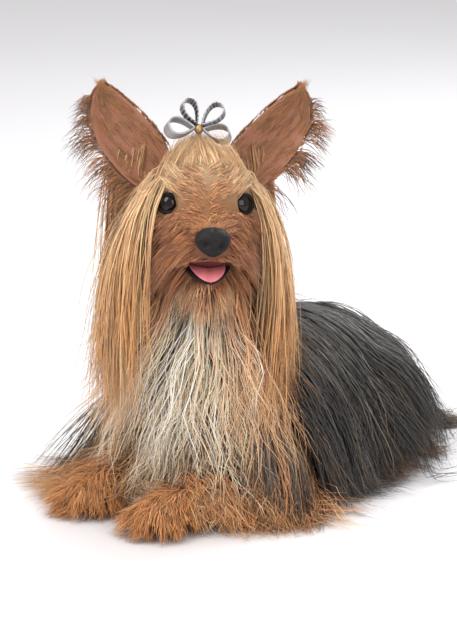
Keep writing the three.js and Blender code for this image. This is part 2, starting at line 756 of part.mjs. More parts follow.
// Fringe along the outer edge of an ear
function earCoat(side) {
  return [1, 2, 3].map((row) => {
    const [x, z] = EAR_OUTER[row];
    const out = headWay(side, 0, 0.1);
    const spot = onHead(side * (x - 3), EAR_ROOT_Y + 1, z);
    return layLock(
      { spot, out },
      {
        way: headWay(side, 0, row * 0.12 - 0.3).toArray(),
        pull: headWay(side * 0.5, 0, -1).toArray(),
        length: about(34 - row * 4),
        width: about(9),
        thickness: FINE,
        turn: 0.35,
      },
    );
  });
}

// Coat of the legs, combed forward and out onto the floor: place along the forearm, degrees and length
const FORELEG_ROOTS = [
  [0.1, 2, 104],
  [0.32, 20, 92],
  [0.52, -12, 80],
  [0.72, 12, 62],
  [0.92, -4, 42],
];
function forelegCoat(side, forearm) {
  const shape = legForm(forearm);
  return FORELEG_ROOTS.map(([t, angle, length], i) =>
    layLock(onSkin(shape, t, turnedTo(side, angle)), {
      way: [side, -0.5, 0],
      pull: [side * (0.9 - 0.3 * t), -0.3 - 0.5 * t, -0.8],
      turn: 0.5,
      length: about(length),
      width: about(25 - 9 * t),
      thickness: 2.6,
      lift: 1.6 + (i % 3) * OVERLAP,
      under: [[shape]],
    }),
  );
}
const TOE_ANGLES = [-62, -30, 0, 30, 62];
function pawCoat(paw) {
  const shape = legForm(paw);
  return TOE_ANGLES.map((turn) => {
    const { spot, out } = onSkin(shape, 0.86, 270 + turn);
    return layLock(
      { spot, out },
      {
        way: [out.x, -1, 0.1],
        pull: [out.x * 0.2, -0.5, -1],
        turn: 0.5,
        length: about(24),
        width: about(9),
        thickness: FINE,
        lift: 2,
        under: [[shape]],
      },
    );
  });
}

// Place along the tail, degrees and length
const TAIL_ROOTS = [
  [0.12, 40, 72],
  [0.2, 120, 68],
  [0.42, 20, 72],
  [0.55, 90, 66],
  [0.75, 40, 60],
  [0.95, 20, 50],
];
function tailCoat() {
  return TAIL_ROOTS.map(([t, angle, length], i) => {
    const root = onSkin(tailForm, t, angle);
    return layLock(root, {
      way: [0.4 + root.out.x * 0.4, 0.8, 0.2],
      pull: [0.7, 0.25, -0.8],
      length: about(length),
      width: about(18),
      thickness: 2.6,
      lift: 2 + (i % 3) * OVERLAP,
      under: [[tailForm]],
    });
  });
}

// The pieces, each cut clear of those before it

const clear = (shape, options = {}) => solidOf(shape, { ...options, grow: GAP });
const eyes = [LEFT, RIGHT].map((side) => ({ side, centre: onHead(...mirroredPoint(side, EYE_PLACE)) }));
const TORSO_MESH = { steps: 7, sides: 16 };
const HEAD_MESH = { steps: 12, sides: 18 };
const EYE_SIDES = 14;
const NOSE_MESH = { steps: 3, sides: 12 };
const NOSTRIL_MESH = { steps: 1, sides: 8 };
const LIP_MESH = { steps: 8, sides: 5 };
const JAW_MESH = { steps: 4, sides: 12 };
const TONGUE_MESH = { steps: 4, sides: 8 };
const NECK_MESH = { steps: 4, sides: 14 };
const LEG_MESH = { steps: 3, sides: 10 };
const HIND_MESH = { steps: 3, sides: 8 };
const BASE_MESH = { steps: 4, sides: 10 };

// The room that a node's flesh and coat take up, grown to the clearance.
const room = (flesh, coat = []) =>
  join(flesh.map(([shape, mesh]) => solidOf(shape, { ...mesh, grow: GAP })), coatSolids(coat, GAP));
const fleshOf = (flesh) => join(flesh.map(([shape, mesh]) => solidOf(shape, mesh)));

for (const { side, centre } of eyes)
  addNode("eye_" + word(side), head, EYE, ball(centre, EYE_RADIUS, EYE_SIDES));

const nostrils = [LEFT, RIGHT].map((side) => solidOf(nostrilForm(side), NOSTRIL_MESH));
addNode("nose", head, NOSE, solidOf(noseForm, NOSE_MESH), nostrils);

const eyeballs = eyes.map(({ centre }) => ball(centre, EYE_RADIUS, EYE_SIDES, GAP));
const noseRoom = clear(noseForm, NOSE_MESH);
const skullRoom = join(clear(skullForm, HEAD_MESH), clear(upperLip, LIP_MESH));
const jawRoom = join(clear(jawForm, JAW_MESH), clear(lowerLip, LIP_MESH));
const tongueRoom = clear(tongueForm, TONGUE_MESH);
const earRooms = [LEFT, RIGHT].map((side) => ear(side, GAP));
const torsoRoom = clear(torsoForm, TORSO_MESH);
const neckCore = clear(neckForm, NECK_MESH);

const headHair = headCoat();
addNode(
  "head",
  head,
  FACE,
  join(solidOf(skullForm, HEAD_MESH), solidOf(upperLip, LIP_MESH), lidRing(LEFT), lidRing(RIGHT)),
  [...eyeballs, noseRoom],
  coatSolids(headHair),
  [...eyeballs, noseRoom, jawRoom, tongueRoom, ...earRooms, knot(GAP), neckCore],
);
const headRoom = join(skullRoom, coatSolids(headHair, GAP));

const jawHair = jawCoat();
const jawFlesh = join(solidOf(jawForm, JAW_MESH), solidOf(lowerLip, LIP_MESH));
addNode("jaw", head, FACE, jawFlesh, [skullRoom], coatSolids(jawHair), [headRoom, neckCore, tongueRoom]);
const jawCoatRoom = join(jawRoom, coatSolids(jawHair, GAP));
addNode("tongue", head, TONGUE, solidOf(tongueForm, TONGUE_MESH), [skullRoom, jawRoom]);

const earCoatRooms = [LEFT, RIGHT].map((side, i) => {
  const hair = earCoat(side);
  addNode("ear_" + word(side), head, FACE, ear(side), [skullRoom], coatSolids(hair), [headRoom]);
  return join(earRooms[i], coatSolids(hair, GAP));
});

addNode("bow_knot", head, RIBBON, knot(0), [skullRoom]);
for (const bow of BOW) addNode(bow.name, head, RIBBON, ribbonLoop(bow), [headRoom, knot(GAP)]);

const forelegs = [
  { side: LEFT, arm: upperArm, forearm: forearmLeft, paw: pawLeft },
  { side: RIGHT, arm: rightUpperArm, forearm: forearmRight, paw: pawRight },
];
const limbRooms = [];
for (const { side, arm, forearm, paw } of forelegs) {
  const pawFlesh = [[legForm(paw), LEG_MESH]];
  const pawHair = pawCoat(paw);
  addNode("forepaw_" + word(side), dog, RUST, fleshOf(pawFlesh), [], coatSolids(pawHair), limbRooms);
  const pawRoom = room(pawFlesh, pawHair);
  const legFlesh = [arm, forearm].map((s) => [legForm(s), LEG_MESH]);
  const legHair = forelegCoat(side, forearm);
  const legRooms = [torsoRoom, neckCore, pawRoom];
  addNode("foreleg_" + word(side), dog, RUST, fleshOf(legFlesh), legRooms,
    coatSolids(legHair), [...legRooms, ...limbRooms]);
  limbRooms.push(pawRoom, room(legFlesh, legHair));
}
for (const side of [LEFT, RIGHT]) {
  const [upper, lower, foot] = [thigh, shank, hindFoot].map((s) => [bodySide(side, s), HIND_MESH]);
  addNode("hindfoot_" + word(side), dog, RUST, fleshOf([foot]));
  addNode("hindleg_" + word(side), dog, STEEL, fleshOf([upper, lower]), [torsoRoom, room([foot])]);
  limbRooms.push(room([foot]), room([upper, lower]));
}

const neckFlesh = [[neckForm, NECK_MESH]];
const neckHair = neckCoat();
addNode("neck", dog, CREAM, fleshOf(neckFlesh), [skullRoom, jawRoom, torsoRoom],
  coatSolids(neckHair), [headRoom, jawCoatRoom, torsoRoom, ...limbRooms]);
const neckRoom = room(neckFlesh, neckHair);

const fallRooms = [LEFT, RIGHT].map((side, i) => {
  const flesh = [[fallBase(side), BASE_MESH]];
  const hair = fallCoat(side);
  const rooms = [headRoom, earCoatRooms[i]];
  addNode("fall_" + word(side), head, BLOND, fleshOf(flesh), rooms,
    coatSolids(hair), [...rooms, jawCoatRoom, neckRoom, torsoRoom, ...limbRooms]);
  return room(flesh, hair);
});

const tailFlesh = [[tailForm, LEG_MESH]];
const tailHair = tailCoat();
addNode("tail", dog, STEEL, fleshOf(tailFlesh), [torsoRoom], coatSolids(tailHair), [torsoRoom]);
addNode("torso", dog, STEEL, fleshOf([[torsoForm, TORSO_MESH]]), [],
  coatSolids(torsoCoat()), [neckRoom, headRoom, ...fallRooms, room(tailFlesh, tailHair), ...limbRooms]);

export default dog;
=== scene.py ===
"""A Yorkshire terrier in full coat, lying down with its head up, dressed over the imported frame."""

import math
from collections import namedtuple

import bpy
import numpy as np
from mathutils import Matrix, Vector
from mathutils.bvhtree import BVHTree


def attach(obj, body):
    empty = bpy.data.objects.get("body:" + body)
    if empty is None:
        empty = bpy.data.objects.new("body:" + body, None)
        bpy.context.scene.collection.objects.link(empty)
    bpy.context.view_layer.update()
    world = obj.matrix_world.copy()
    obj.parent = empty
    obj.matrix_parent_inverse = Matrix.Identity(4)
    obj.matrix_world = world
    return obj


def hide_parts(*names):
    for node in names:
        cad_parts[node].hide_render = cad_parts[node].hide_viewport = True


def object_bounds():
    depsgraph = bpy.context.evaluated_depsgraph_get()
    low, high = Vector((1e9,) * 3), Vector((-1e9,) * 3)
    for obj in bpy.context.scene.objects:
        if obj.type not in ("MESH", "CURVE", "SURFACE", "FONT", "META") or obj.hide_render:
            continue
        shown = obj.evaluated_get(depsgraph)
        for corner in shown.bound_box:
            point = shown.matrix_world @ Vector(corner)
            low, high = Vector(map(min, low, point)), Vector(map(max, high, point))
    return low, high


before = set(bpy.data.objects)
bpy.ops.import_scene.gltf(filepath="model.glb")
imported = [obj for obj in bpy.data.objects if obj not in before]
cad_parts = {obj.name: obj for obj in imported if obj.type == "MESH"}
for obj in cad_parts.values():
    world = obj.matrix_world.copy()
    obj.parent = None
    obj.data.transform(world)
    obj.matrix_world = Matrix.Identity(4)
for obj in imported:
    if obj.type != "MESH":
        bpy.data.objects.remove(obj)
CAD_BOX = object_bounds()

bl_info = {
    "name": "Yorkshire terrier in full coat",
    "version": (1, 0, 0),
    "blender": (4, 5, 0),
    "location": "3D View > Sidebar > Terrier",
    "description": "Builds the skin, face, ribbon bow and long silky coat of a lying Yorkshire terrier",
    "category": "Object",
}

MM = 0.001
BODY = "root"
TINY = 1e-9  # keeps a division by a length away from zero
LEFT, RIGHT = 1, -1
SIDES = (LEFT, RIGHT)
SIDE_WORDS = ((LEFT, "left"), (RIGHT, "right"))
ACROSS = (1, 0, 0)
NECK_SIDE = (0.94, 0.34, 0)  # the way across the neck, which turns with the head

# The head's own frame, in millimetres: its nose points to -Y and its left ear is at +X
HEAD_CENTRE = Vector((6, -100, 204))
HEAD_TURN, HEAD_LIFT, HEAD_ROLL = 40, 8, 2.2  # degrees
EYE_RADIUS = 9.0
EYE_PLACE = Vector((21.8, -20.3, 3.5))
EYE_OUTWARD = Vector((0.42, -0.9, 0.05)).normalized()
BOW_KNOT = Vector((-3, -8, 51))


def head_matrix():
    turn = Matrix.Rotation(math.radians(HEAD_TURN), 4, "Z")
    lift = Matrix.Rotation(math.radians(-HEAD_LIFT), 4, "X")
    roll = Matrix.Rotation(math.radians(HEAD_ROLL), 4, "Y")
    return Matrix.Translation(HEAD_CENTRE) @ turn @ lift @ roll


HEAD = head_matrix()
HEAD_TURNED = HEAD.to_3x3()
HEAD_INVERSE = HEAD.inverted()


def on_head(place):
    """A place in the head's frame, brought into the part's frame."""
    return HEAD @ Vector(place)


def mirrored(place, side):
    """A place or a way given for the left half of the head, on either side."""
    return Vector((side * place.x, place.y, place.z))


# Rows of elliptical sections of the flesh, as in the frame: x, y, z, half width, half depth
FORMS = {
    "torso": {
        "axis": (0, 1, 0),
        "rows": [
            (0, -95, 60, 28, 32),
            (0, -75, 59, 43, 53),
            (0, -40, 58, 49, 60),
            (0, 0, 55.5, 50, 58.5),
            (0, 40, 54.5, 49, 57.5),
            (0, 70, 50.5, 47, 53.5),
            (0, 95, 42.5, 43, 44.5),
            (0, 113, 32, 31, 32),
        ],
    },
    "neck": {
        "side": NECK_SIDE,
        "rows": [(0, -62, 84, 38, 36), (2, -78, 118, 33, 34), (4, -88, 150, 29, 31), (6, -96, 184, 27, 29)],
    },
    "head": {
        "axis": (0, -1, 0),
        "head": True,
        "rows": [
            (0, 30, 2, 24, 24),
            (0, 15, 3, 34, 33),
            (0, 0, 3, 36.5, 34.5),
            (0, -14, 1, 34.5, 32),
            (0, -24, -5, 29, 25),
            (0, -31, -12, 22, 18),
            (0, -42, -17.5, 17, 13.5),
            (0, -53, -20, 14.5, 12),
            (0, -60, -20.5, 12, 9.5),
        ],
    },
    "jaw": {
        "axis": (0, -1, 0),
        "head": True,
        "rows": [
            (0, -6, -32, 15, 8),
            (0, -20, -37.5, 14, 8),
            (0, -35, -42.5, 11.5, 7),
            (0, -46, -47, 9, 5.5),
        ],
    },
    "arm_left": {"rows": [(31, -80, 72, 14, 24), (40, -70, 48, 15, 22), (45, -62, 24, 14, 18)]},
    "arm_right": {"rows": [(-31, -72, 72, 14, 24), (-40, -62, 48, 15, 22), (-45, -54, 24, 14, 18)]},
    "forearm_left": {
        "rows": [(45, -58, 20, 15, 18), (33, -98, 17, 13, 15), (20, -134, 14, 11.5, 12.5)],
    },
    "forearm_right": {
        "rows": [(-46, -50, 20, 15, 18), (-49, -88, 17, 13, 15), (-51, -122, 14, 11.5, 12.5)],
    },
    "paw_left": {
        "rows": [(18, -141, 13.5, 12.5, 12.5), (13, -154, 13, 15.5, 12.5), (9, -164, 11.5, 15, 11)],
    },
    "paw_right": {
        "rows": [
            (-51.5, -129, 13.5, 12.5, 12.5),
            (-52.5, -142, 13, 15.5, 12.5),
            (-53.5, -152, 11.5, 15, 11),
        ],
    },
    "tail": {
        "side": (0, 0, 1),
        "rows": [(1, 112, 52, 13, 13), (8, 134, 36, 11, 11), (24, 147, 20, 9, 9), (44, 148, 11, 6, 6)],
    },
}
HIND_LEG = {
    "thigh": [(30, 84, 58, 20, 28), (46, 64, 48, 21, 33), (57, 42, 37, 17, 26), (61, 26, 30, 12, 19)],
    "shank": [(61, 30, 26, 10, 14), (62, 62, 18, 9, 12), (60, 94, 14, 9, 12)],
    "foot": [(64, 58, 11, 9, 10), (66, 30, 10, 11, 10), (67, 10, 10, 13, 9.5)],
}
for part, left_rows in HIND_LEG.items():
    FORMS[part + "_left"] = {"rows": left_rows}
    FORMS[part + "_right"] = {"rows": [(-x, *rest) for x, *rest in left_rows]}

FLESH_NODES = [
    "head", "jaw", "neck", "torso", "tail", "foreleg_left", "foreleg_right", "forepaw_left", "forepaw_right",
    "hindleg_left", "hindleg_right", "hindfoot_left", "hindfoot_right",
]


COLOUR_LAYER = "hair_colour"


# Shader maths


class Wire:
    """One socket of a material. Sums and products of wires add Math nodes."""

    def __init__(self, sheet, socket):
        self.sheet, self.socket = sheet, socket

    def _math(self, operation, a, b):
        return self.sheet.node("ShaderNodeMath", {"operation": operation}, {0: a, 1: b})

    def __add__(self, other):
        return self._math("ADD", self, other)

    __radd__ = __add__

    def __mul__(self, other):
        return self._math("MULTIPLY", self, other)

    __rmul__ = __mul__


class Sheet:
    """A material under construction."""

    def __init__(self, name):
        self.material = bpy.data.materials.new(name)
        self.material.use_nodes = True
        self.tree = self.material.node_tree
        self.shader = self.tree.nodes["Principled BSDF"]

    def node(self, kind, settings=None, values=None, output=0):
        made = self.tree.nodes.new(kind)
        for key, value in (settings or {}).items():
            setattr(made, key, value)
        for key, value in (values or {}).items():
            if isinstance(value, Wire):
                self.tree.links.new(value.socket, made.inputs[key])
            else:
                made.inputs[key].default_value = value
        return Wire(self, made.outputs[output])

    def place(self, output="Object"):
        return self.node("ShaderNodeTexCoord", output=output)

    def hair_colour(self):
        """The colour that each vertex of the skin or the coat carries."""
        return self.node("ShaderNodeAttribute", {"attribute_name": COLOUR_LAYER}, output="Color")

    def noise(self, scale, detail=3.0):
        values = {"Vector": self.place(), "Scale": scale, "Detail": detail}
        return self.node("ShaderNodeTexNoise", None, values)

    def mix(self, share, first, second, blend="MIX"):
        settings = {"data_type": "RGBA", "blend_type": blend}
        return self.node("ShaderNodeMix", settings, {0: share, 6: first, 7: second}, output=2)

    def bump(self, height, strength, distance):
        values = {"Height": height, "Strength": strength, "Distance": distance}
        return self.node("ShaderNodeBump", None, values)

    def finish(self, **sockets):
        """Fills the shader's sockets, with underscores for the spaces in their names."""
        for name, value in sockets.items():
            key = name.replace("_", " ")
            if isinstance(value, Wire):
                self.tree.links.new(value.socket, self.shader.inputs[key])
            else:
                self.shader.inputs[key].default_value = value
        return self.material


def opaque(tone):
    return (*tone, 1)


# User settings


def colour_prop(name, words, value):
    return bpy.props.FloatVectorProperty(
        name=name, description=words, default=value, subtype="COLOR", size=3, min=0, max=1
    )


def length_prop(name, words, value):
    return bpy.props.FloatProperty(
        name=name, description=words, default=value, min=0, unit="LENGTH", subtype="DISTANCE"
    )


class TerrierColours(bpy.types.PropertyGroup):
    rust: colour_prop("Rust", "Hair of the muzzle and the cheeks", (0.28, 0.092, 0.03))
    tan: colour_prop("Tan", "Hair of the legs and the lower face", (0.52, 0.235, 0.092))
    golden: colour_prop("Golden", "Hair of the crown and the falls", (0.7, 0.45, 0.24))
    cream: colour_prop("Cream", "Hair of the chest", (0.96, 0.81, 0.62))
    drab: colour_prop("Drab", "Grey-brown streaks in the falls", (0.2, 0.14, 0.088))
    orange: colour_prop("Orange", "Ends of the falls", (0.6, 0.26, 0.07))
    steel: colour_prop("Steel", "Hair of the trunk", (0.03, 0.027, 0.026))
    # Painted sheen: a paler grey painted over the top of the back, where the light falls on the coat
    painted_sheen: colour_prop("Silver", "Worn sheen along the back", (0.15, 0.143, 0.135))
    nose: colour_prop("Nose", "Leather of the nose and the lips", (0.006, 0.005, 0.005))
    eye: colour_prop("Eye", "Iris", (0.012, 0.005, 0.003))
    tongue: colour_prop("Tongue", "Tongue", (0.78, 0.25, 0.27))
    ribbon: colour_prop("Ribbon", "Satin of the bow", (0.36, 0.365, 0.385))
    floor: colour_prop("Floor", "Table under the dog", (0.83, 0.82, 0.83))


class TerrierSizes(bpy.types.PropertyGroup):
    strand: length_prop("Strand", "Width of a strand of the long coat", 0.0012)
    face_strand: length_prop("Face strand", "Width of a strand on the face", 0.0007)
    voxel: length_prop("Skin grain", "Voxel size with which the skin is fused", 0.002)
    ribbon: length_prop("Ribbon", "Thickness of the ribbon", 0.0008)


def sizes():
    return bpy.context.scene.terrier_sizes


def colour(name):
    return tuple(getattr(bpy.context.scene.terrier_colours, name))


# Modelling helpers


def pick(*objects):
    bpy.ops.object.select_all(action="DESELECT")
    for obj in objects:
        obj.select_set(True)
    bpy.context.view_layer.objects.active = objects[0]


def settle(obj):
    """Moves an object's place into its mesh."""
    pick(obj)
    bpy.ops.object.transform_apply(location=True, rotation=True, scale=True)
    return obj


def dressed(obj, name, material, nodes=()):
    """Names a finished piece, gives it its material and ties it to the frame."""
    obj.name = obj.data.name = name
    obj.data.materials.clear()
    obj.data.materials.append(material)
    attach(obj, BODY)
    if nodes:
        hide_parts(*nodes)
    return obj


def smooth(obj):
    pick(obj)
    bpy.ops.object.shade_smooth()
    return obj


def modify(obj, kind, **settings):
    """Adds a modifier and applies it."""
    pick(obj)
    bpy.ops.object.modifier_add(type=kind)
    modifier = obj.modifiers[-1]
    for key, value in settings.items():
        setattr(modifier, key, value)
    bpy.ops.object.modifier_apply(modifier=modifier.name)
    return obj


MERGE_GAP = 1e-6  # metres


def face_out(obj):
    """Merges doubles and turns every face outwards."""
    pick(obj)
    bpy.ops.object.mode_set(mode="EDIT")
    bpy.ops.mesh.select_all(action="SELECT")
    bpy.ops.mesh.remove_doubles(threshold=MERGE_GAP)
    bpy.ops.mesh.normals_make_consistent(inside=False)
    bpy.ops.object.mode_set(mode="OBJECT")
    return obj


def ball(place, radii, turned=None, segments=16, rings=10):
    """An ellipsoid at a place in millimetres, with its axes along the columns of turned."""
    bpy.ops.object.select_all(action="DESELECT")
    bpy.ops.mesh.primitive_uv_sphere_add(segments=segments, ring_count=rings, radius=1)
    obj = bpy.context.object
    turn = (turned or Matrix.Identity(3)).to_4x4()
    scale = Matrix.Diagonal((*(r * MM for r in radii), 1))
    obj.matrix_world = Matrix.Translation(Vector(place) * MM) @ turn @ scale
    return obj


def unit_ball(segments, rings):
    """A ball of radius 1 at the origin, which a rule then shapes."""
    return settle(ball((0, 0, 0), (1 / MM,) * 3, None, segments, rings))


def reshape(obj, rule):
    """Moves every vertex to what the rule makes of its place."""
    for vertex in obj.data.vertices:
        vertex.co = rule(vertex.co.copy())
    obj.data.update()
    return obj


def tube(name, points, radii, closed=False):
    """A round bar along points in millimetres, made from a curve and then a mesh."""
    data = bpy.data.curves.new(name, "CURVE")
    data.dimensions = "3D"
    data.bevel_depth = 1
    data.bevel_resolution = 3
    data.use_fill_caps = not closed
    spline = data.splines.new("POLY")
    spline.points.add(len(points) - 1)
    spline.use_cyclic_u = closed
    for point, place, radius in zip(spline.points, points, radii):
        point.co = (*(Vector(place) * MM), 1)
        point.radius = radius * MM
    obj = bpy.data.objects.new(name, data)
    bpy.context.scene.collection.objects.link(obj)
    pick(obj)
    bpy.ops.object.convert(target="MESH")
    return smooth(face_out(bpy.context.object))


def spread(rows, count):
    """Evenly spaced points on a smooth curve through rows of numbers."""
    rows = np.array(rows, float)
    made = []
    for t in np.linspace(0, len(rows) - 1, count):
        at = min(int(t), len(rows) - 2)
        u = t - at
        p0, p1, p2, p3 = (rows[min(max(i, 0), len(rows) - 1)] for i in (at - 1, at, at + 1, at + 2))
        cubic = (2 * p0 - 5 * p1 + 4 * p2 - p3) * u**2 + (3 * p1 - p0 - 3 * p2 + p3) * u**3
        made.append(0.5 * (2 * p1 + (p2 - p0) * u + cubic))
    return np.array(made)


# Skin

BALL_SPACING = 0.45  # of the form's smallest half width, between the balls of a form
BALL_LENGTH = 0.8  # of a section's smaller half size, from a ball's centre along the form
SKIN_INSET = 0.6  # millimetres that the skin lies inside the frame's flesh


def form_balls(name):
    """The ellipsoids that make up a form: centre, turned axes, and radii, in millimetres."""
    form = FORMS[name]
    rows = np.array(form["rows"], float)
    length = np.linalg.norm(np.diff(rows[:, :3], axis=0), axis=1).sum()
    count = max(len(rows), int(length / (BALL_SPACING * rows[:, 3:].min())) + 1)
    made = spread(rows, count)
    balls = []
    for i, (x, y, z, a, b) in enumerate(made):
        chord = Vector(made[min(i + 1, count - 1)][:3]) - Vector(made[max(i - 1, 0)][:3])
        along = Vector(form.get("axis", chord)).normalized()
        side = Vector(form.get("side", ACROSS)).normalized()
        side = (side - along * side.dot(along)).normalized()
        up = side.cross(along)
        centre = Vector((x, y, z))
        if form.get("head"):
            centre = HEAD @ centre
            side, along, up = (HEAD_TURNED @ v for v in (side, along, up))
        turned = Matrix((side, along, up)).transposed()
        radii = (a - SKIN_INSET, min(a, b) * BALL_LENGTH, b - SKIN_INSET)
        balls.append((centre, turned, radii))
    return balls


FACE_BALLS = [
    # Place and radii in the head's frame, for the left half
    ((17, -17, 13), (10, 8, 5)),  # brow
    ((24, -10, -14), (12, 14, 12)),  # cheek
    ((9, -50, -25), (9, 12, 7)),  # whisker bed
    ((7, -33, -8), (6, 9, 5)),  # between the eye and the bridge
]
SOCKET_AHEAD, SOCKET_RADIUS = 12.0, 9.6  # millimetres, of the ball that hollows the skin round an eye


def open_sockets(p):
    """Presses the skin back round each eye."""
    for side in SIDES:
        centre = on_head(mirrored(EYE_PLACE, side) + mirrored(EYE_OUTWARD, side) * SOCKET_AHEAD) * MM
        away = p - centre
        if away.length < SOCKET_RADIUS * MM:
            p = centre + away.normalized() * (SOCKET_RADIUS * MM)
    return p


SKIN_REST = 0.4  # millimetres from the floor to the lowest skin


def keep_on_floor(p):
    """Flattens the underside of the skin against the floor."""
    p.z = max(p.z, SKIN_REST * MM)
    return p


class Skin:
    """What the coat needs to know of the fused skin, in millimetres. All but the tree are per triangle."""

    tree = None
    triangles = points = normals = areas = labels = patches = None


def label_faces(centres):
    """The form that each place belongs to: that of the ellipsoid that it is nearest to."""
    best = np.full(len(centres), np.inf)
    labels = np.empty(len(centres), dtype="<U16")
    for name in FORMS:
        for centre, turned, radii in form_balls(name):
            local = (centres - np.array(centre)) @ np.array(turned)
            k = np.linalg.norm(local / np.array(radii), axis=1)
            nearer = k < best
            best[nearer] = k[nearer]
            labels[nearer] = name
    return labels


UNWRAP_ANGLE = math.radians(66)
ISLAND_GAP = 0.002  # of the texture's width


def unwrap(obj):
    """Texture places of the corners of each triangle of the skin, from an unwrap of a copy."""
    copy = obj.copy()
    copy.data = obj.data.copy()
    bpy.context.scene.collection.objects.link(copy)
    pick(copy)
    bpy.ops.object.mode_set(mode="EDIT")
    bpy.ops.mesh.select_all(action="SELECT")
    bpy.ops.uv.smart_project(angle_limit=UNWRAP_ANGLE, island_margin=ISLAND_GAP)
    bpy.ops.object.mode_set(mode="OBJECT")
    mesh = copy.data
    mesh.calc_loop_triangles()
    places = np.empty(len(mesh.loops) * 2)
    mesh.uv_layers.active.data.foreach_get("uv", places)
    corners = np.empty(len(mesh.loop_triangles) * 3, int)
    mesh.loop_triangles.foreach_get("loops", corners)
    made = places.reshape(-1, 2)[corners.reshape(-1, 3)]
    bpy.data.objects.remove(copy)
    return made


def vertex_places(mesh):
    """The places of a mesh's vertices, in millimetres."""
    places = np.empty(len(mesh.vertices) * 3)
    mesh.vertices.foreach_get("co", places)
    return places.reshape(-1, 3) / MM


def study_skin(obj):
    """Fills the Skin store from the fused skin."""
    mesh = obj.data
    mesh.calc_loop_triangles()
    corners = np.empty(len(mesh.loop_triangles) * 3, int)
    mesh.loop_triangles.foreach_get("vertices", corners)
    corners = corners.reshape(-1, 3)
    places = vertex_places(mesh)
    a, b, c = (places[corners[:, k]] for k in range(3))
    across = np.cross(b - a, c - a)
    Skin.triangles = places[corners]
    Skin.areas = np.linalg.norm(across, axis=1) / 2
    Skin.normals = across / np.maximum(2 * Skin.areas[:, None], TINY)
    Skin.points = Skin.triangles.mean(axis=1)
    Skin.labels = label_faces(Skin.points)
    Skin.patches = unwrap(obj)
    Skin.tree = BVHTree.FromPolygons([tuple(p) for p in places], corners.tolist())


SKIN_SHADE = 0.6  # brightness of the skin, as a share of its hair's


class OBJECT_OT_terrier_skin(bpy.types.Operator):
    """Fuse the trunk, neck, head, jaw, legs and tail into one skin"""

    bl_idname = "object.terrier_skin"
    bl_label = "Skin"

    def execute(self, context):
        balls = [ball(c, r, t) for name in FORMS for c, t, r in form_balls(name)]
        for place, radii in FACE_BALLS:
            for side in SIDES:
                balls.append(ball(on_head(mirrored(Vector(place), side)), radii, HEAD_TURNED))
        pick(*balls)
        bpy.ops.object.join()
        skin = settle(bpy.context.object)
        modify(skin, "REMESH", mode="VOXEL", voxel_size=sizes().voxel, adaptivity=0)
        modify(skin, "SMOOTH", factor=0.5, iterations=4)
        reshape(skin, open_sockets)
        reshape(skin, keep_on_floor)
        smooth(skin)
        study_skin(skin)
        places = vertex_places(skin.data)
        paint(skin.data, markings(places, label_faces(places)) * SKIN_SHADE)
        dressed(skin, "skin", skin_material(), FLESH_NODES)
        return {"FINISHED"}


def skin_material():
    sheet = Sheet("skin under the coat")
    grain = sheet.noise(900, 4)
    shade = sheet.mix(grain * 0.5, sheet.hair_colour(), (0.03, 0.02, 0.015, 1))
    return sheet.finish(Base_Color=shade, Roughness=0.8, Normal=sheet.bump(grain, 0.4, 0.0006))


def paint(mesh, colours):
    """Gives each vertex its colour."""
    layer = mesh.attributes.new(COLOUR_LAYER, "FLOAT_COLOR", "POINT")
    rgba = np.ones((len(mesh.vertices), 4))
    rgba[:, :3] = colours
    layer.data.foreach_set("color", rgba.ravel())


# Markings


def ramp(value, low, high):
    """0 below low, 1 above high, and a soft step between them."""
    t = np.clip((value - low) / (high - low), 0, 1)
    return t * t * (3 - 2 * t)


def blend(share, first, second):
    """A mix of two colours, or of two rows of colours, by the share of the second at each place."""
    return first * (1 - share[:, None]) + second * share[:, None]


def in_head(places):
    """Rows of places, brought into the head's frame."""
    inverse = np.array(HEAD_INVERSE)
    return places @ inverse[:3, :3].T + inverse[:3, 3]


CHEST_WAY = (0.32, -0.89, -0.28)  # out of the front of the neck
CHEST_MIDDLE = (2, -78, 118)  # from which depth along that way is measured
BIB_MIDDLE, BIB_SHIFT = (0, -90, 118), 6  # the cream bib's middle, and how far it sits to the dog's right


def head_tones(h, tone):
    """Rust round the eyes and on the muzzle, golden brow, crown and cheeks, tan bridge and nape."""
    made = blend(ramp(h[:, 2], -4, 16), tone["rust"], tone["golden"])
    made = blend(ramp(np.abs(h[:, 0]), 20, 34) * ramp(h[:, 1], -34, -14), made, tone["golden"])
    made = blend(ramp(-h[:, 1], 30, 44) * ramp(h[:, 2], -14, -7), made, tone["tan"])
    return blend(ramp(h[:, 1], 14, 30), made, tone["tan"])


def trunk_tones(places, tone):
    """Steel, with a paler sheen painted along the top of the back, and golden hair low on the chest."""
    # Painted sheen: the top of the back is painted paler grey by height, where the light falls
    made = blend(ramp(places[:, 2], 92, 116) * 0.9, tone["steel"], tone["painted_sheen"])
    return blend(ramp(-places[:, 1], 70, 92) * ramp(-places[:, 2], -110, -40), made, tone["golden"])


def neck_tones(places, tone):
    """Drab over the nape, tan at the sides and the throat, cream down the front."""
    front = (places - np.array(CHEST_MIDDLE)) @ np.array(CHEST_WAY)
    sideways = np.abs((places - np.array(BIB_MIDDLE)) @ np.array(NECK_SIDE) + BIB_SHIFT)
    made = blend(ramp(front, -22, 0), tone["drab"] * 0.7, tone["tan"])
    made = blend(ramp(front, 4, 18) * (1 - ramp(sideways, 25, 40)), made, tone["cream"])
    return blend(ramp(places[:, 2], 150, 172) * ramp(front, -10, 10), made, tone["tan"])


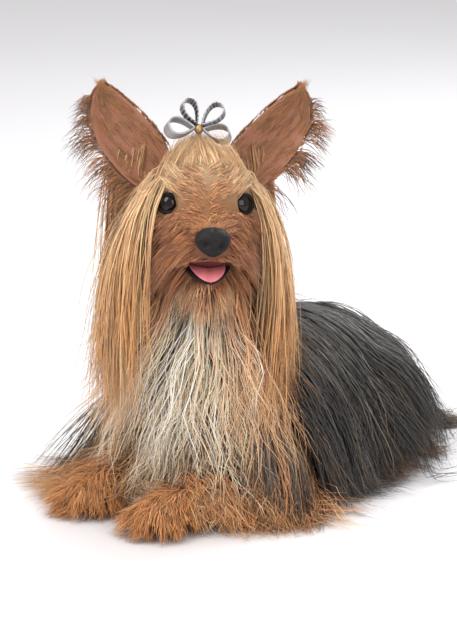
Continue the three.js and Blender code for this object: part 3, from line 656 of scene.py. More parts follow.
def markings(places, labels):
    """Colour of the hair at its root, for places on the skin in millimetres."""
    words = ("rust", "tan", "golden", "cream", "drab", "steel", "painted_sheen")
    tone = {word: np.array(colour(word)) for word in words}
    height = places[:, 2]
    made = trunk_tones(places, tone)
    for parts, tint in (
        (("head", "jaw"), head_tones(in_head(places), tone)),
        (("ear",), tone["golden"] * 0.5 + tone["tan"] * 0.5),
        (("neck",), neck_tones(places, tone)),
        (("forearm", "paw", "foot"), tone["tan"]),
        (("thigh", "shank"), blend(ramp(height, 14, 26), tone["tan"], tone["steel"])),
        (("arm",), blend(ramp(height, 30, 60), tone["tan"], tone["drab"])),
    ):
        mask = np.array([label.split("_")[0] in parts for label in labels])
        made = np.where(mask[:, None], tint, made)
    return made


# Coat


class Lock:
    """How one lock of the coat grows from its root: the way it starts, the way it is pulled, its length and
    its lift off the skin in millimetres, how fast it turns to the pull, and its tip's colour, its width and
    its curl."""

    def __init__(self, way, pull, length, lift, tip, turn=0.35, width=1.0, curl=0.0):
        self.way, self.pull = Vector(way).normalized(), Vector(pull).normalized()
        self.length, self.lift, self.turn = length, lift, turn
        self.tip, self.width, self.curl = tip, width, curl


ROOT_SINK = 1.5  # millimetres that a lock starts below the skin
RISE_STEPS = 3  # steps over which a lock reaches its lift
REST_HEIGHT = 1.0  # of the lowest hair above the floor
REST_SHARE = 0.5  # how much of its lift a lock keeps where it lies on the floor
FLOOR_TOUCH = 0.3  # above its rest at which a lock turns along the floor
FLOOR_NEAR = 14.0  # height below which a lock turns its face up


def comb(root, normal, lock, steps):
    """The middle line of a lock, combed over skin and floor, with the way out at each point."""
    p = root.copy()
    way = lock.way.copy()
    step = lock.length / steps
    resting = REST_HEIGHT + REST_SHARE * lock.lift
    points, normals = [root - normal * ROOT_SINK], [normal.copy()]
    for i in range(1, steps + 1):
        target = lock.pull
        if p.z <= resting + FLOOR_TOUCH:
            target = Vector((lock.pull.x, lock.pull.y, 0))
            target = target.normalized() if target.length > 1e-3 else way
        way = way.lerp(target, lock.turn).normalized()
        q = p + way * step
        hit, out, _, distance = Skin.tree.find_nearest(q)
        if (q - hit).dot(out) < 0:
            distance = -distance
        wanted = lock.lift * min(1, i / RISE_STEPS)
        if distance < wanted:
            q += out * (wanted - distance)
        q.z = max(q.z, resting)
        if (q - p).length > 1e-4:
            way = (q - p).normalized()
        p = q
        lean = (normals[-1] + out).normalized() if (normals[-1] + out).length > 0.1 else out
        near_floor = max(0.0, 1 - p.z / FLOOR_NEAR)
        points.append(p.copy())
        normals.append(lean.lerp(Vector((0, 0, 1)), near_floor).normalized())
    return points, normals


CURL_SHORTEST, CURL_LONGEST = 45, 75  # millimetres of hair in one wave


def sway(rng, lock, points, ways):
    """Waves a combed lock from side to side, more towards its tip."""
    steps = len(points) - 1
    phase, waves_in = rng.uniform(0, 2 * math.pi), lock.length / rng.uniform(CURL_SHORTEST, CURL_LONGEST)
    for k in range(1, steps + 1):
        t = k / steps
        aside = (points[k] - points[k - 1]).cross(ways[k]).normalized()
        swing = math.sin(phase + 2 * math.pi * waves_in * t) - math.sin(phase) * (1 - t)
        points[k] = points[k] + aside * (lock.curl * t * swing)


def pick_roots(rng, weight, count):
    """Roots spread over the skin by weight and area: places, ways out, forms' names and texture places."""
    chance = Skin.areas * weight
    picked = rng.choice(len(chance), size=count, p=chance / chance.sum())
    share = rng.dirichlet((1, 1, 1), size=count)
    places = (Skin.triangles[picked] * share[:, :, None]).sum(axis=1)
    patches = (Skin.patches[picked] * share[:, :, None]).sum(axis=1)
    return places, Skin.normals[picked], Skin.labels[picked], patches


# Room that the strands leave before the face, in the head's frame
EYE_CLEAR = 6.8  # round the line of sight of an eye
FACE_FRONT = (-0.14, -0.98, 0.1)  # the way from which the face is seen
NOSE_HALF_WIDTH, NOSE_START, NOSE_LOW, NOSE_HIGH = 10, -58, -26, -9
MOUTH_HALF_WIDTH, MOUTH_FLARE, MOUTH_MIDDLE = 13.0, 0.35, -40
MOUTH_START, MOUTH_LOW, MOUTH_HIGH = -38, -43, -31.5


def covers_face(lines):
    """Which strands hang before an eye, the nose or the open mouth."""
    h = in_head(lines.reshape(-1, 3)).reshape(lines.shape)
    x, y, z = np.abs(h[..., 0]), h[..., 1], h[..., 2]
    covers = (x < NOSE_HALF_WIDTH) & (y < NOSE_START) & (z > NOSE_LOW) & (z < NOSE_HIGH)
    mouth_edge = MOUTH_HALF_WIDTH + MOUTH_FLARE * (z - MOUTH_MIDDLE)
    covers |= (x < mouth_edge) & (y < MOUTH_START) & (z > MOUTH_LOW) & (z < MOUTH_HIGH)
    for side in SIDES:
        eye = np.array(mirrored(EYE_PLACE, side))
        for way in (mirrored(EYE_OUTWARD, side), Vector(FACE_FRONT)):
            way = np.array(way.normalized())
            reach = (h - eye) @ way
            beside = np.linalg.norm(h - eye - reach[..., None] * way, axis=-1)
            covers |= (reach > 0) & (beside < EYE_CLEAR)
    return covers.any(axis=1)


BOX_MARGIN = 3.0  # millimetres by which the coat may pass the frame's box


def inside_box(lines):
    """Which strands stay within the frame's box."""
    low, high = (np.array(corner) / MM for corner in CAD_BOX)
    return ((lines > low - BOX_MARGIN) & (lines < high + BOX_MARGIN)).all(axis=(1, 2))


SECTION = np.array(((1.0, 0.0), (-1.0, 0.0), (0.0, 0.75)))  # corners, across and out, in half widths
CORNERS = len(SECTION)
LOWEST_HAIR = 0.3  # millimetres above the floor
PATCH = 0.0015  # half the width of a tuft's patch in the texture


def unit(rows):
    """Rows of vectors, each made one long."""
    return rows / np.maximum(np.linalg.norm(rows, axis=-1, keepdims=True), TINY)


def strand_vertices(lines, outs, half_widths):
    """Three-cornered rings along each line, tapered to a point at its end."""
    count, rings = lines.shape[0], lines.shape[1] - 1
    along = unit(np.gradient(lines, axis=1))
    across = unit(np.cross(along, outs))
    out = np.cross(across, along)
    t = np.linspace(0, 1, rings + 1)[:rings]
    # Three quarters of its width at the root, widest soon after, and fine towards the tip
    taper = np.clip(0.75 + 1.6 * t, 0, 1) * (1 - t**2.2) + 0.06
    half = (half_widths[:, None] * taper[None, :])[:, :, None]
    ring = (
        lines[:, :rings, None, :]
        + across[:, :rings, None, :] * (SECTION[:, 0] * half)[..., None]
        + out[:, :rings, None, :] * (SECTION[:, 1] * half)[..., None]
    )
    ring = ring.reshape(count, rings * CORNERS, 3)
    ring[..., 2] = np.maximum(ring[..., 2], LOWEST_HAIR)
    return np.concatenate([ring, lines[:, rings:, :]], axis=1)


def strand_faces(rings):
    """Faces of one closed strand: quads between its rings, and triangles that close its two ends."""
    quads, ends = [], [(2, 1, 0)]
    for r in range(rings - 1):
        for s in range(CORNERS):
            a, b = r * CORNERS + s, r * CORNERS + (s + 1) % CORNERS
            quads.append((a, b, b + CORNERS, a + CORNERS))
    last = (rings - 1) * CORNERS
    ends += [(last + s, last + (s + 1) % CORNERS, last + CORNERS) for s in range(CORNERS)]
    return np.array(quads, int).reshape(-1, 4), np.array(ends, int)


def strand_patches(patches, rings):
    """Texture places of each strand's vertices: a small patch at its root's place."""
    level = np.append(np.repeat(np.linspace(-PATCH, PATCH, rings), CORNERS), PATCH)
    turn = np.append(np.tile([-PATCH, PATCH, 0], rings), 0)
    return np.stack([patches[:, :1] + turn[None], patches[:, 1:] + level[None]], axis=2).reshape(-1, 2)


def strand_mesh(name, lines, outs, half_widths, patches, colours):
    """One mesh of closed, three-sided, tapered strands, from lines of points in millimetres."""
    vertices = strand_vertices(lines, outs, half_widths)
    count, per = vertices.shape[:2]
    quads, ends = strand_faces(lines.shape[1] - 1)
    shift = (np.arange(count) * per)[:, None, None]
    quads = (quads[None] + shift).reshape(-1, 4)
    ends = (ends[None] + shift).reshape(-1, 3)
    corners = np.concatenate([quads.ravel(), ends.ravel()])
    starts = np.concatenate([np.arange(len(quads)) * 4, len(quads) * 4 + np.arange(len(ends)) * 3])
    mesh = bpy.data.meshes.new(name)
    mesh.vertices.add(count * per)
    mesh.vertices.foreach_set("co", (vertices * MM).ravel())
    mesh.loops.add(len(corners))
    mesh.loops.foreach_set("vertex_index", corners)
    mesh.polygons.add(len(starts))
    mesh.polygons.foreach_set("loop_start", starts)
    mesh.polygons.foreach_set("use_smooth", np.ones(len(starts), bool))
    mesh.update(calc_edges=True)
    layer = mesh.uv_layers.new(name="OFBake")
    layer.data.foreach_set("uv", strand_patches(patches, lines.shape[1] - 1)[corners].ravel())
    paint(mesh, colours.reshape(-1, 3))
    obj = bpy.data.objects.new(name, mesh)
    bpy.context.scene.collection.objects.link(obj)
    return obj


# A share of the strands is made paler at random: partly real light streaks, partly painted highlight
LIGHT_SHARE, LIGHT_TINT = 0.16, 1.5  # of the strands, the paler ones, and their brightness
TINT_SPREAD = 0.22  # of the brightness from strand to strand, as a share
TURN_START, TURN_END = 0.2, 0.9  # along a strand, where its root's colour gives way to its tip's
LOWEST_LINE = 0.7  # millimetres of a strand's middle above the floor
WAVE_BEATS = (1.0, 2.3)


def waves(rng, count, points, size):
    """Slow random wander of each strand along its length, none at the root."""
    t = np.linspace(0, 1, points)[None, :, None]
    made = np.zeros((count, points, 3))
    for beat in WAVE_BEATS:
        phase = rng.uniform(0, 2 * math.pi, (count, 1, 3))
        amount = rng.normal(0, size / beat, (count, 1, 3))
        made += amount * (np.sin(phase + t * beat * math.pi) - np.sin(phase)) * t**0.7
    return made


def comb_locks(rng, piece, found):
    """Combs one lock from each root: lines, ways out, widths, texture places, and colours of both ends."""
    lines, normals, widths, tips, kept = [], [], [], [], []
    roots, outs, labels, patches = found
    for i in range(len(roots)):
        root, out = Vector(roots[i]), Vector(outs[i])
        lock = piece.law(rng, root, out, labels[i])
        if lock is None:
            continue
        points, ways = comb(root, out, lock, piece.steps)
        if lock.curl:
            sway(rng, lock, points, ways)
        lines.append(points)
        normals.append(ways)
        widths.append(lock.width)
        tips.append(lock.tip)
        kept.append(i)
    lines, normals, widths, tips = (np.array(rows, float) for rows in (lines, normals, widths, tips))
    return lines, normals, widths, patches[kept], markings(roots[kept], labels[kept]), tips


def follow_lock(rng, piece, lines, normals):
    """The lines of the strands, one for each row given. Each starts beside its lock's line, in the plane of
    the skin, draws towards it at its tip, and wanders a little."""
    count, points = lines.shape[:2]
    t = np.linspace(0, 1, points)
    side = unit(np.cross(lines[:, 1] - lines[:, 0], normals[:, 0]))
    ahead = np.cross(normals[:, 0], side)
    radius, angle = np.sqrt(rng.uniform(0, 1, count)) * piece.spread, rng.uniform(0, 2 * math.pi, count)
    offset = side * (radius * np.cos(angle))[:, None] + ahead * (radius * np.sin(angle))[:, None]
    hold = 1 - piece.clump * t[None, :, None] ** 1.4 * rng.uniform(0.5, 1.1, (count, 1, 1))
    depth = rng.uniform(-0.35, 0.8, (count, 1, 1)) * piece.spread * 0.35
    depth = depth * np.clip(t * 3, 0, 1)[None, :, None]
    # A shorter strand is its lock's line, read at closer steps
    shorter = rng.uniform(0.72, 1.04, (count, 1, 1))
    reach = t[None, :, None] * shorter * (points - 1)
    low = np.clip(reach.astype(int), 0, points - 2)
    rest = reach - low
    index = np.broadcast_to(low, (count, points, 3))
    before, after = np.take_along_axis(lines, index, 1), np.take_along_axis(lines, index + 1, 1)
    follow = before * (1 - rest) + after * rest
    made = follow + offset[:, None, :] * hold + normals * depth + waves(rng, count, points, piece.wander)
    made[:, 1:, 2] = np.maximum(made[:, 1:, 2], LOWEST_LINE)
    return made


def shade_strands(rng, roots, tips, points):
    """Colours along each strand from root to tip, each strand a little lighter or darker than the next."""
    count = len(roots)
    t = np.linspace(0, 1, points)
    share = ramp(t, TURN_START, TURN_END)[None, :, None] * rng.uniform(0.6, 1.0, (count, 1, 1))
    tint = np.exp(rng.normal(0, TINT_SPREAD, (count, 1, 1)))
    # Paler strands at random: partly real light streaks, partly painted highlight
    tint = tint * np.where(rng.uniform(size=(count, 1, 1)) < LIGHT_SHARE, LIGHT_TINT, 1)
    root_shade = (0.7 + 0.3 * np.clip(t * 4, 0, 1))[None, :, None]
    return (roots[:, None] * (1 - share) + tips[:, None] * share) * tint * root_shade


def grow(rng, piece, found, strand):
    """Grows one piece of coat: locks are combed one by one, and the strands of each follow it."""
    combed = comb_locks(rng, piece, found)
    repeated = (np.repeat(rows, piece.strands, axis=0) for rows in combed)
    lines, normals, widths, patches, roots, tips = repeated
    made = follow_lock(rng, piece, lines, normals)
    count, points = made.shape[:2]
    shades = shade_strands(rng, roots, tips, points)
    half = widths * (strand * piece.width) / MM / 2 * rng.uniform(0.75, 1.2, count)
    patches = np.clip(patches + rng.uniform(-PATCH, PATCH, (count, 2)), PATCH, 1 - PATCH)
    kept = ~covers_face(made[:, 1:]) & inside_box(made)
    rings = points - 1
    shades = np.concatenate([np.repeat(shades[:, :rings], CORNERS, axis=1), shades[:, rings:]], axis=1)
    shades = np.clip(shades, 0, 1)
    return strand_mesh(piece.name, made[kept], normals[kept], half[kept], patches[kept], shades[kept])


def hair_material(name, roughness=0.42, sheen=0.15):
    sheet = Sheet(name)
    own = sheet.hair_colour()
    streak = sheet.noise(260)
    shade = sheet.mix(streak * 0.3, own, sheet.mix(1.0, own, (0.62, 0.55, 0.5, 1), "MULTIPLY"))
    fine = sheet.noise(2600, 2)
    return sheet.finish(
        Base_Color=shade,
        Roughness=roughness + 0.25 * fine,
        Normal=sheet.bump(fine, 0.25, 0.0002),
        Sheen_Weight=sheen,
        Specular_IOR_Level=0.45,
    )


def label_in(*names):
    """Which triangles of the skin belong to the forms named."""
    return np.array([label.split("_")[0] in names for label in Skin.labels])


def vary(rng, value, share=0.12):
    return value * (1 + share * rng.uniform(-1, 1))


def between(value, low=0.0, high=1.0):
    return float(np.clip(value, low, high))


def side_of(rng, x, doubt=4.0):
    """The side to which a lock falls, in doubt near the parting."""
    return LEFT if x + rng.normal(0, doubt) > 0 else RIGHT


# Laws of growth, one for each region. Each takes a root, the way out of the skin there and the form's name.

WISP_SHARE = 0.16  # of the locks of the trunk, which lie out on the floor
WISP_LONGER = {LEFT: 12, RIGHT: 30}  # millimetres


def trunk_lock(rng, root, out, label):
    side = side_of(rng, root.x)
    back = between((root.y + 60) / 170)
    height = between(out.z)
    front = between((-root.y - 10) / 70) if side == RIGHT else 0
    sweep = 0.04 + 0.34 * back * rng.uniform(0.5, 1.2) - 0.45 * front
    flare = rng.uniform(0.0, 0.12) * (1 - back) + 0.8 * front * rng.uniform(0.3, 1)
    wisp = rng.uniform() < WISP_SHARE
    tip = colour("steel") if rng.uniform() < 0.72 else colour("drab")
    longer = WISP_LONGER[side] * wisp
    return Lock(
        way=(side * 0.9, sweep, -0.15),
        pull=(side * (flare + 0.1 * wisp), sweep, -1),
        length=vary(rng, 82 + 84 * height + 70 * front - 30 * back + longer),
        lift=1 + rng.uniform(0, 7) * (0.35 + 0.65 * height) * (1 - 0.5 * back),
        turn=0.3,
        tip=tip,
        width=0.8 if wisp else 1.0,
        curl=rng.uniform(4, 9) if wisp else rng.uniform(1, 6),
    )


def rump_lock(rng, root, out, label):
    side = side_of(rng, root.x, 10)
    return Lock(
        way=(side * 0.5, 0.3, -0.7),
        pull=(side * rng.uniform(0.0, 0.3), rng.uniform(0.0, 0.3), -1),
        length=vary(rng, between(root.z + 18, 44, 96)),
        lift=rng.uniform(0.5, 3.5),
        tip=colour("drab") if rng.uniform() < 0.4 else colour("steel"),
        curl=rng.uniform(1, 6),
    )


def neck_lock(rng, root, out, label):
    front = out.dot(Vector(CHEST_WAY))
    across = out.dot(Vector(NECK_SIDE))
    if front > 0.1:
        pale = 1 - abs(across + 0.1) > rng.uniform(0.1, 0.6)
        sweep = 0.24 if across < 0.2 else 0.05
        return Lock(
            way=(across * 0.4, -0.45, -0.8),
            pull=(-sweep + across * 0.26 + rng.normal(0, 0.12), -sweep * 0.6, -1),
            length=vary(rng, between(root.z - 22, 66, 120), 0.16),
            lift=1.5 + rng.uniform(0, 9),
            turn=0.3,
            tip=colour("cream") if pale else colour("golden"),
            curl=rng.uniform(4, 11),
        )
    return Lock(
        way=(out.x * 0.5, out.y * 0.4, -0.8),
        pull=(out.x * 0.3, out.y * 0.3, -1),
        length=vary(rng, 88),
        lift=2 + rng.uniform(0, 7),
        tip=colour("steel"),
        curl=rng.uniform(0, 4),
    )


FALL_END = 98.0  # height of the ends of the falls above the floor


def fall_lock(rng, root, out, label):
    h = HEAD_INVERSE @ root
    side = side_of(rng, h.x, 1)
    outward = HEAD_TURNED @ Vector((side, 0, 0))
    forward = HEAD_TURNED @ Vector((0, -1, 0))
    from_ear = label == "ear"
    flare = rng.uniform(-0.04, 0.1) if side == RIGHT else rng.uniform(-0.16, -0.02)
    lean = 0.1 - 0.01 * h.y + rng.normal(0, 0.07)
    streak = rng.uniform()
    tip = colour("orange") if streak < 0.7 else colour("golden") if streak < 0.82 else colour("drab")
    rise = -0.5 if from_ear else 0.35 - 0.012 * abs(h.x)
    return Lock(
        way=outward * (0.12 if from_ear else 0.9) + Vector((0, 0, rise)) + forward * lean,
        pull=outward * flare + forward * lean * 0.35 + Vector((0, 0, -1)),
        length=vary(rng, max(64.0, root.z - FALL_END + (4 if from_ear else 32)), 0.18),
        lift=2 + rng.uniform(0, 8),
        turn=rng.uniform(0.45, 0.62),
        tip=tip,
        curl=rng.uniform(0.5, 4),
    )


def crown_lock(rng, root, out, label):
    foot = on_head(BOW_KNOT - Vector((0, -3, 6)))
    reach = foot - root
    return Lock(
        way=reach.normalized() * 0.8 + out * 0.35,
        pull=reach,
        length=reach.length * rng.uniform(0.9, 1.05),
        lift=1.5 + rng.uniform(0, 2.5),
        turn=0.5,
        tip=colour("golden"),
    )


def nape_lock(rng, root, out, label):
    way = HEAD_TURNED @ Vector(((HEAD_INVERSE @ root).x * 0.03, 0.5, -0.7))
    return Lock(
        way=way,
        pull=(way.x * 0.25, way.y * 0.25, -1),
        length=vary(rng, 92),
        lift=2 + rng.uniform(0, 6),
        tip=colour("drab"),
        curl=rng.uniform(0, 3),
    )


NOSE_EDGE = -62.5  # in the head's frame, before which no hair grows


def face_lock(rng, root, out, label):
    h = HEAD_INVERSE @ root
    side = side_of(rng, h.x, 1)
    if h.y < NOSE_EDGE:
        return None
    front = between((-h.y - 30) / 25)
    tip = colour("tan") if rng.uniform() < 0.6 else colour("rust")
    if h.z > -13 and h.y < -26 and abs(h.x) < 13:  # bridge of the muzzle
        way, pull = (side * (0.5 + abs(h.x) * 0.08), 0.55, 0.5), (side * 1.0, 0.5, 0.05)
        length = 6 + 7 * (1 - front)
    elif h.z > 1:  # brow
        apart = min(1.0, abs(h.x) / 14)
        way, pull = (side * 0.5 * apart, 0.4, 0.8), (side * 0.6 * apart, 0.6, 0.5)
        length = 20 - 6 * apart
        tip = colour("golden")
    elif h.y < -40 and h.z < -20:  # whisker beds
        way, pull = (side * 1.0, 0.35, -0.3), (side * 0.8, 0.55, -0.7)
        length = 9 + 13 * (1 - front)
    else:  # cheeks
        low = between((-h.z - 6) / 18)
        way, pull = (side * 0.95, 0.3, -0.3 - 0.4 * low), (side * 0.45, 0.25, -1)
        length = 12 + 24 * low
    return Lock(
        way=HEAD_TURNED @ Vector(way),
        pull=HEAD_TURNED @ Vector(pull),
        length=vary(rng, length, 0.25),
        lift=0.5 + rng.uniform(0, 1.6),
        turn=0.4,
        tip=tip,
    )


def beard_lock(rng, root, out, label):
    h = HEAD_INVERSE @ root
    way = HEAD_TURNED @ Vector((h.x * 0.05, -0.05, -0.9))
    return Lock(
        way=way + out * 0.3,
        pull=(way.x * 0.3, way.y * 0.3, -1),
        length=vary(rng, 22, 0.3),
        lift=rng.uniform(0.3, 2),
        turn=0.4,
        tip=colour("golden"),
    )


def foreleg_lock(rng, root, out, label):
    side = LEFT if label.endswith("left") else RIGHT
    reach = between((root.y + 140) / 90)
    outer = max(0.0, out.x * side)
    far = 52 if side == LEFT else 82
    return Lock(
        way=(side * 0.5 + out.x * 0.4, -0.6, 0),
        pull=(side * rng.uniform(0.2, 1.1), -0.6 + rng.normal(0, 0.3), -0.9),
        length=vary(rng, 26 + far * reach * (0.45 + 0.55 * outer), 0.2),
        lift=0.6 + rng.uniform(0, 5),
        turn=0.3,
        tip=colour("golden") if rng.uniform() < 0.6 else colour("orange"),
        curl=rng.uniform(4, 10),
    )


def arm_lock(rng, root, out, label):
    side = LEFT if label.endswith("left") else RIGHT
    dark = rng.uniform() < 0.5
    far = 0.25 if side == LEFT else 0.6
    return Lock(
        way=(side * 0.8, -0.3, -0.5),
        pull=(side * far, -0.4, -1),
        length=vary(rng, 60 + 70 * far),
        lift=rng.uniform(1.5, 8),
        tip=colour("steel") if dark else colour("tan"),
        curl=rng.uniform(0, 4),
    )


def paw_lock(rng, root, out, label):
    return Lock(
        way=(out.x * 0.7, -1, 0.0),
        pull=(out.x * 0.5 + rng.normal(0, 0.3), -0.5, -0.8),
        length=vary(rng, 17, 0.4),
        lift=0.3 + rng.uniform(0, 1.6),
        turn=0.4,
        tip=colour("orange"),
    )


def hind_lock(rng, root, out, label):
    side = LEFT if label.endswith("left") else RIGHT
    return Lock(
        way=(side * 0.6, 0.2, -0.6),
        pull=(side * 0.15, rng.uniform(-0.2, 0.3), -1),
        length=vary(rng, 38),
        lift=rng.uniform(0.5, 3),
        tip=colour("steel") if rng.uniform() < 0.7 else colour("drab"),
        curl=2.0,
    )


def tail_lock(rng, root, out, label):
    return Lock(
        way=(0.25 + out.x * 0.4, 0.5, -0.3),
        pull=(rng.uniform(0.0, 0.4), rng.uniform(0.1, 0.5), -0.9),
        length=vary(rng, 44),
        lift=rng.uniform(0.5, 3),
        tip=colour("drab"),
        curl=rng.uniform(1, 5),
    )


# Zones: the weight of each of the skin's triangles, for the number of locks that stand on it


def head_zones():
    """The zones of the head: falls at the temples and cheeks, crown, nape, and the face between them."""
    h = in_head(Skin.points)
    on = label_in("head")
    x, y, z = np.abs(h[:, 0]), h[:, 1], h[:, 2]
    fall = on & (x > 11) & (y > -18) & (y < 20) & (z > 15)
    fall |= on & (x > 22) & (y > -10) & (y < 20) & (z > -22)
    crown = on & ~fall & (z > 7) & (y > -27) & (y < 20)
    nape = on & ~fall & ~crown & (y >= 10)
    face = (on & ~fall & ~crown & ~nape) * (1 + 1.2 * ramp(-y, 20, 40))
    return {
        "fall_left": fall * (h[:, 0] > 0),
        "fall_right": fall * (h[:, 0] < 0),
        "crown": crown,
        "nape": nape,
        "face": face,
    }


PARTING_OVERLAP = 2  # millimetres past the middle that each side's locks stand
RUMP_START, TRUNK_END = 88, 96


def zones():
    """The weight of each triangle of the skin for every zone of the coat."""
    x, y = Skin.points[:, 0], Skin.points[:, 1]
    above_floor = ramp(Skin.normals[:, 2], -0.75, -0.3) * ramp(Skin.points[:, 2], 3, 9)
    trunk = label_in("torso") * above_floor * ramp(y, -84, -66) * (y < TRUNK_END)
    return {
        **head_zones(),
        "trunk_left": trunk * (x > -PARTING_OVERLAP),
        "trunk_right": trunk * (x < PARTING_OVERLAP),
        "rump": label_in("torso") * above_floor * (y >= RUMP_START),
        "neck": label_in("neck") + label_in("torso") * ramp(-y, 84, 92) * 0.8,
        "jaw": label_in("jaw") * ramp(-in_head(Skin.points)[:, 2], 34, 40),
        "hind": label_in("thigh", "shank", "foot") * above_floor,
        **{form: label_in(form) * above_floor for form in ("forearm", "arm", "paw", "tail")},
    }


EAR_ROOTS = 110  # long locks that hang from the foot of an ear


def ear_roots(rng, side):
    """Places on the lower, outer part of an ear, with the way out, a label and a texture place for each."""
    places, outs, patches = [], [], []
    for _ in range(EAR_ROOTS):
        u, v = rng.uniform(0.2, 0.9 if side == RIGHT else 0.7), rng.uniform(0, 0.5) ** 1.5
        places.append(ear_place(side, u, v) + HEAD_TURNED @ Vector((0, rng.uniform(-1, 3), 0)))
        outs.append(HEAD_TURNED @ Vector((side * 0.6, -0.5, 0.1)).normalized())
        patches.append(ear_patch(u, v))
    return np.array(places), np.array(outs), np.array(["ear"] * EAR_ROOTS, dtype="<U16"), np.array(patches)


def roots_of(rng, piece, weight):
    """The roots of a piece's locks. A fall's hang from the skull and from the foot of the ear."""
    if piece.law is not fall_lock:
        return pick_roots(rng, weight, piece.locks)
    skull = pick_roots(rng, weight, piece.locks - EAR_ROOTS)
    hanging = ear_roots(rng, LEFT if piece.zone.endswith("left") else RIGHT)
    return tuple(np.concatenate(pair) for pair in zip(skull, hanging))


# Locks are counted for the piece, strands for each lock and steps along a strand. Spread and wander are in
# millimetres, clump is how far the strands of a lock draw together at its tip, and width is a share of the
# strand's width in the settings
Piece = namedtuple("Piece", "name zone law locks strands steps spread clump wander width slot")
COAT_PIECES = (
    Piece("coat_back_left", "trunk_left", trunk_lock, 225, 15, 9, 8.0, 0.72, 4.0, 0.85, "steel_coat"),
    Piece("coat_back_right", "trunk_right", trunk_lock, 225, 15, 9, 8.0, 0.72, 4.0, 0.85, "steel_coat"),
    Piece("coat_rump", "rump", rump_lock, 90, 14, 7, 8.0, 0.6, 3.4, 0.85, "steel_coat"),
    Piece("coat_neck", "neck", neck_lock, 270, 13, 8, 6.0, 0.6, 4.6, 0.66, "chest_coat"),
    Piece("coat_fall_left", "fall_left", fall_lock, 235, 13, 8, 4.0, 0.45, 3.0, 0.75, "blond_coat"),
    Piece("coat_fall_right", "fall_right", fall_lock, 235, 13, 8, 4.0, 0.45, 3.0, 0.75, "blond_coat"),
    Piece("coat_crown", "crown", crown_lock, 220, 12, 5, 3.4, 0.4, 1.2, 0.8, "blond_coat"),
    Piece("coat_nape", "nape", nape_lock, 100, 12, 7, 5.0, 0.55, 2.4, 0.85, "blond_coat"),
    Piece("coat_face", "face", face_lock, 800, 10, 3, 2.4, 0.35, 0.8, 0.85, "face_coat"),
    Piece("coat_beard", "jaw", beard_lock, 130, 9, 4, 2.2, 0.45, 1.2, 0.9, "face_coat"),
    Piece("coat_forelegs", "forearm", foreleg_lock, 220, 14, 7, 5.0, 0.6, 3.8, 0.66, "rust_coat"),
    Piece("coat_arms", "arm", arm_lock, 80, 12, 6, 6.0, 0.5, 2.4, 0.85, "rust_coat"),
    Piece("coat_paws", "paw", paw_lock, 300, 12, 3, 3.2, 0.3, 1.4, 0.6, "rust_coat"),
    Piece("coat_hind", "hind", hind_lock, 110, 11, 5, 6.0, 0.5, 2.2, 0.9, "steel_coat"),
    Piece("coat_tail", "tail", tail_lock, 80, 12, 6, 5.0, 0.5, 2.2, 0.85, "steel_coat"),
)
# Nodes of the frame that pieces of coat replace
COAT_NODES = {"coat_fall_left": ["fall_left"], "coat_fall_right": ["fall_right"]}
FINE_ZONES = ("face", "jaw", "crown")  # where hair is as thin as on the face
COAT_SEED = 40


class OBJECT_OT_terrier_coat(bpy.types.Operator):
    """Grow the long silky coat as fine tapered strands that follow its lie"""

    bl_idname = "object.terrier_coat"
    bl_label = "Coat"

    def execute(self, context):
        materials = {
            "steel_coat": hair_material("steel hair", 0.34, 0.1),
            "blond_coat": hair_material("golden hair"),
            "chest_coat": hair_material("cream hair", 0.45),
            "face_coat": hair_material("face hair", 0.5),
            "rust_coat": hair_material("leg hair", 0.45),
        }
        weights = zones()
        for seed, piece in enumerate(COAT_PIECES, start=COAT_SEED):
            strand = sizes().face_strand if piece.zone in FINE_ZONES else sizes().strand
            rng = np.random.default_rng(seed)
            obj = grow(rng, piece, roots_of(rng, piece, weights[piece.zone]), strand)
            dressed(obj, piece.name, materials[piece.slot], COAT_NODES.get(piece.name, ()))
        return {"FINISHED"}


# Face


def eye_material():
    sheet = Sheet("eye")
    shade = sheet.mix(sheet.noise(900), opaque(colour("eye")), (0.004, 0.003, 0.003, 1))
    return sheet.finish(
        Base_Color=shade, Roughness=0.03, Coat_Weight=0.25, Coat_Roughness=0.01, Specular_IOR_Level=0.22
    )


def leather_material(name, tone, roughness=0.35):
    sheet = Sheet(name)
    cells = sheet.node("ShaderNodeTexVoronoi", None, {"Vector": sheet.place(), "Scale": 1500.0})
    grain = sheet.noise(500)
    paler = tuple(min(1, c * 2.2 + 0.004) for c in tone)
    return sheet.finish(
        Base_Color=sheet.mix(grain, opaque(tone), opaque(paler)),
        Roughness=roughness + 0.2 * grain,
        Normal=sheet.bump(cells, 0.5, 0.0004),
        Specular_IOR_Level=0.16,
    )


LID_POINTS = 28
LID_BAR = 1.15  # half thickness of the rim of an eye
LID_HALF_WIDTH, LID_RISE, LID_DROP = 0.8, 0.66, 0.62  # of the eyeball's radius


def lid_points(side):
    """Points round the opening of an eye, just off the eyeball."""
    outward = mirrored(EYE_OUTWARD, side)
    across = Vector((0, 0, 1)).cross(outward).normalized()
    up = outward.cross(across)
    points = []
    for i in range(LID_POINTS):
        turn = 2 * math.pi * i / LID_POINTS
        height = LID_RISE if math.sin(turn) > 0 else LID_DROP
        spoke = across * (math.cos(turn) * LID_HALF_WIDTH) + up * (math.sin(turn) * height)
        rise = math.sqrt(max(0.05, 1 - spoke.length_squared))
        points.append(on_head(mirrored(EYE_PLACE, side) + (spoke + outward * rise) * (EYE_RADIUS + 0.2)))
    return points


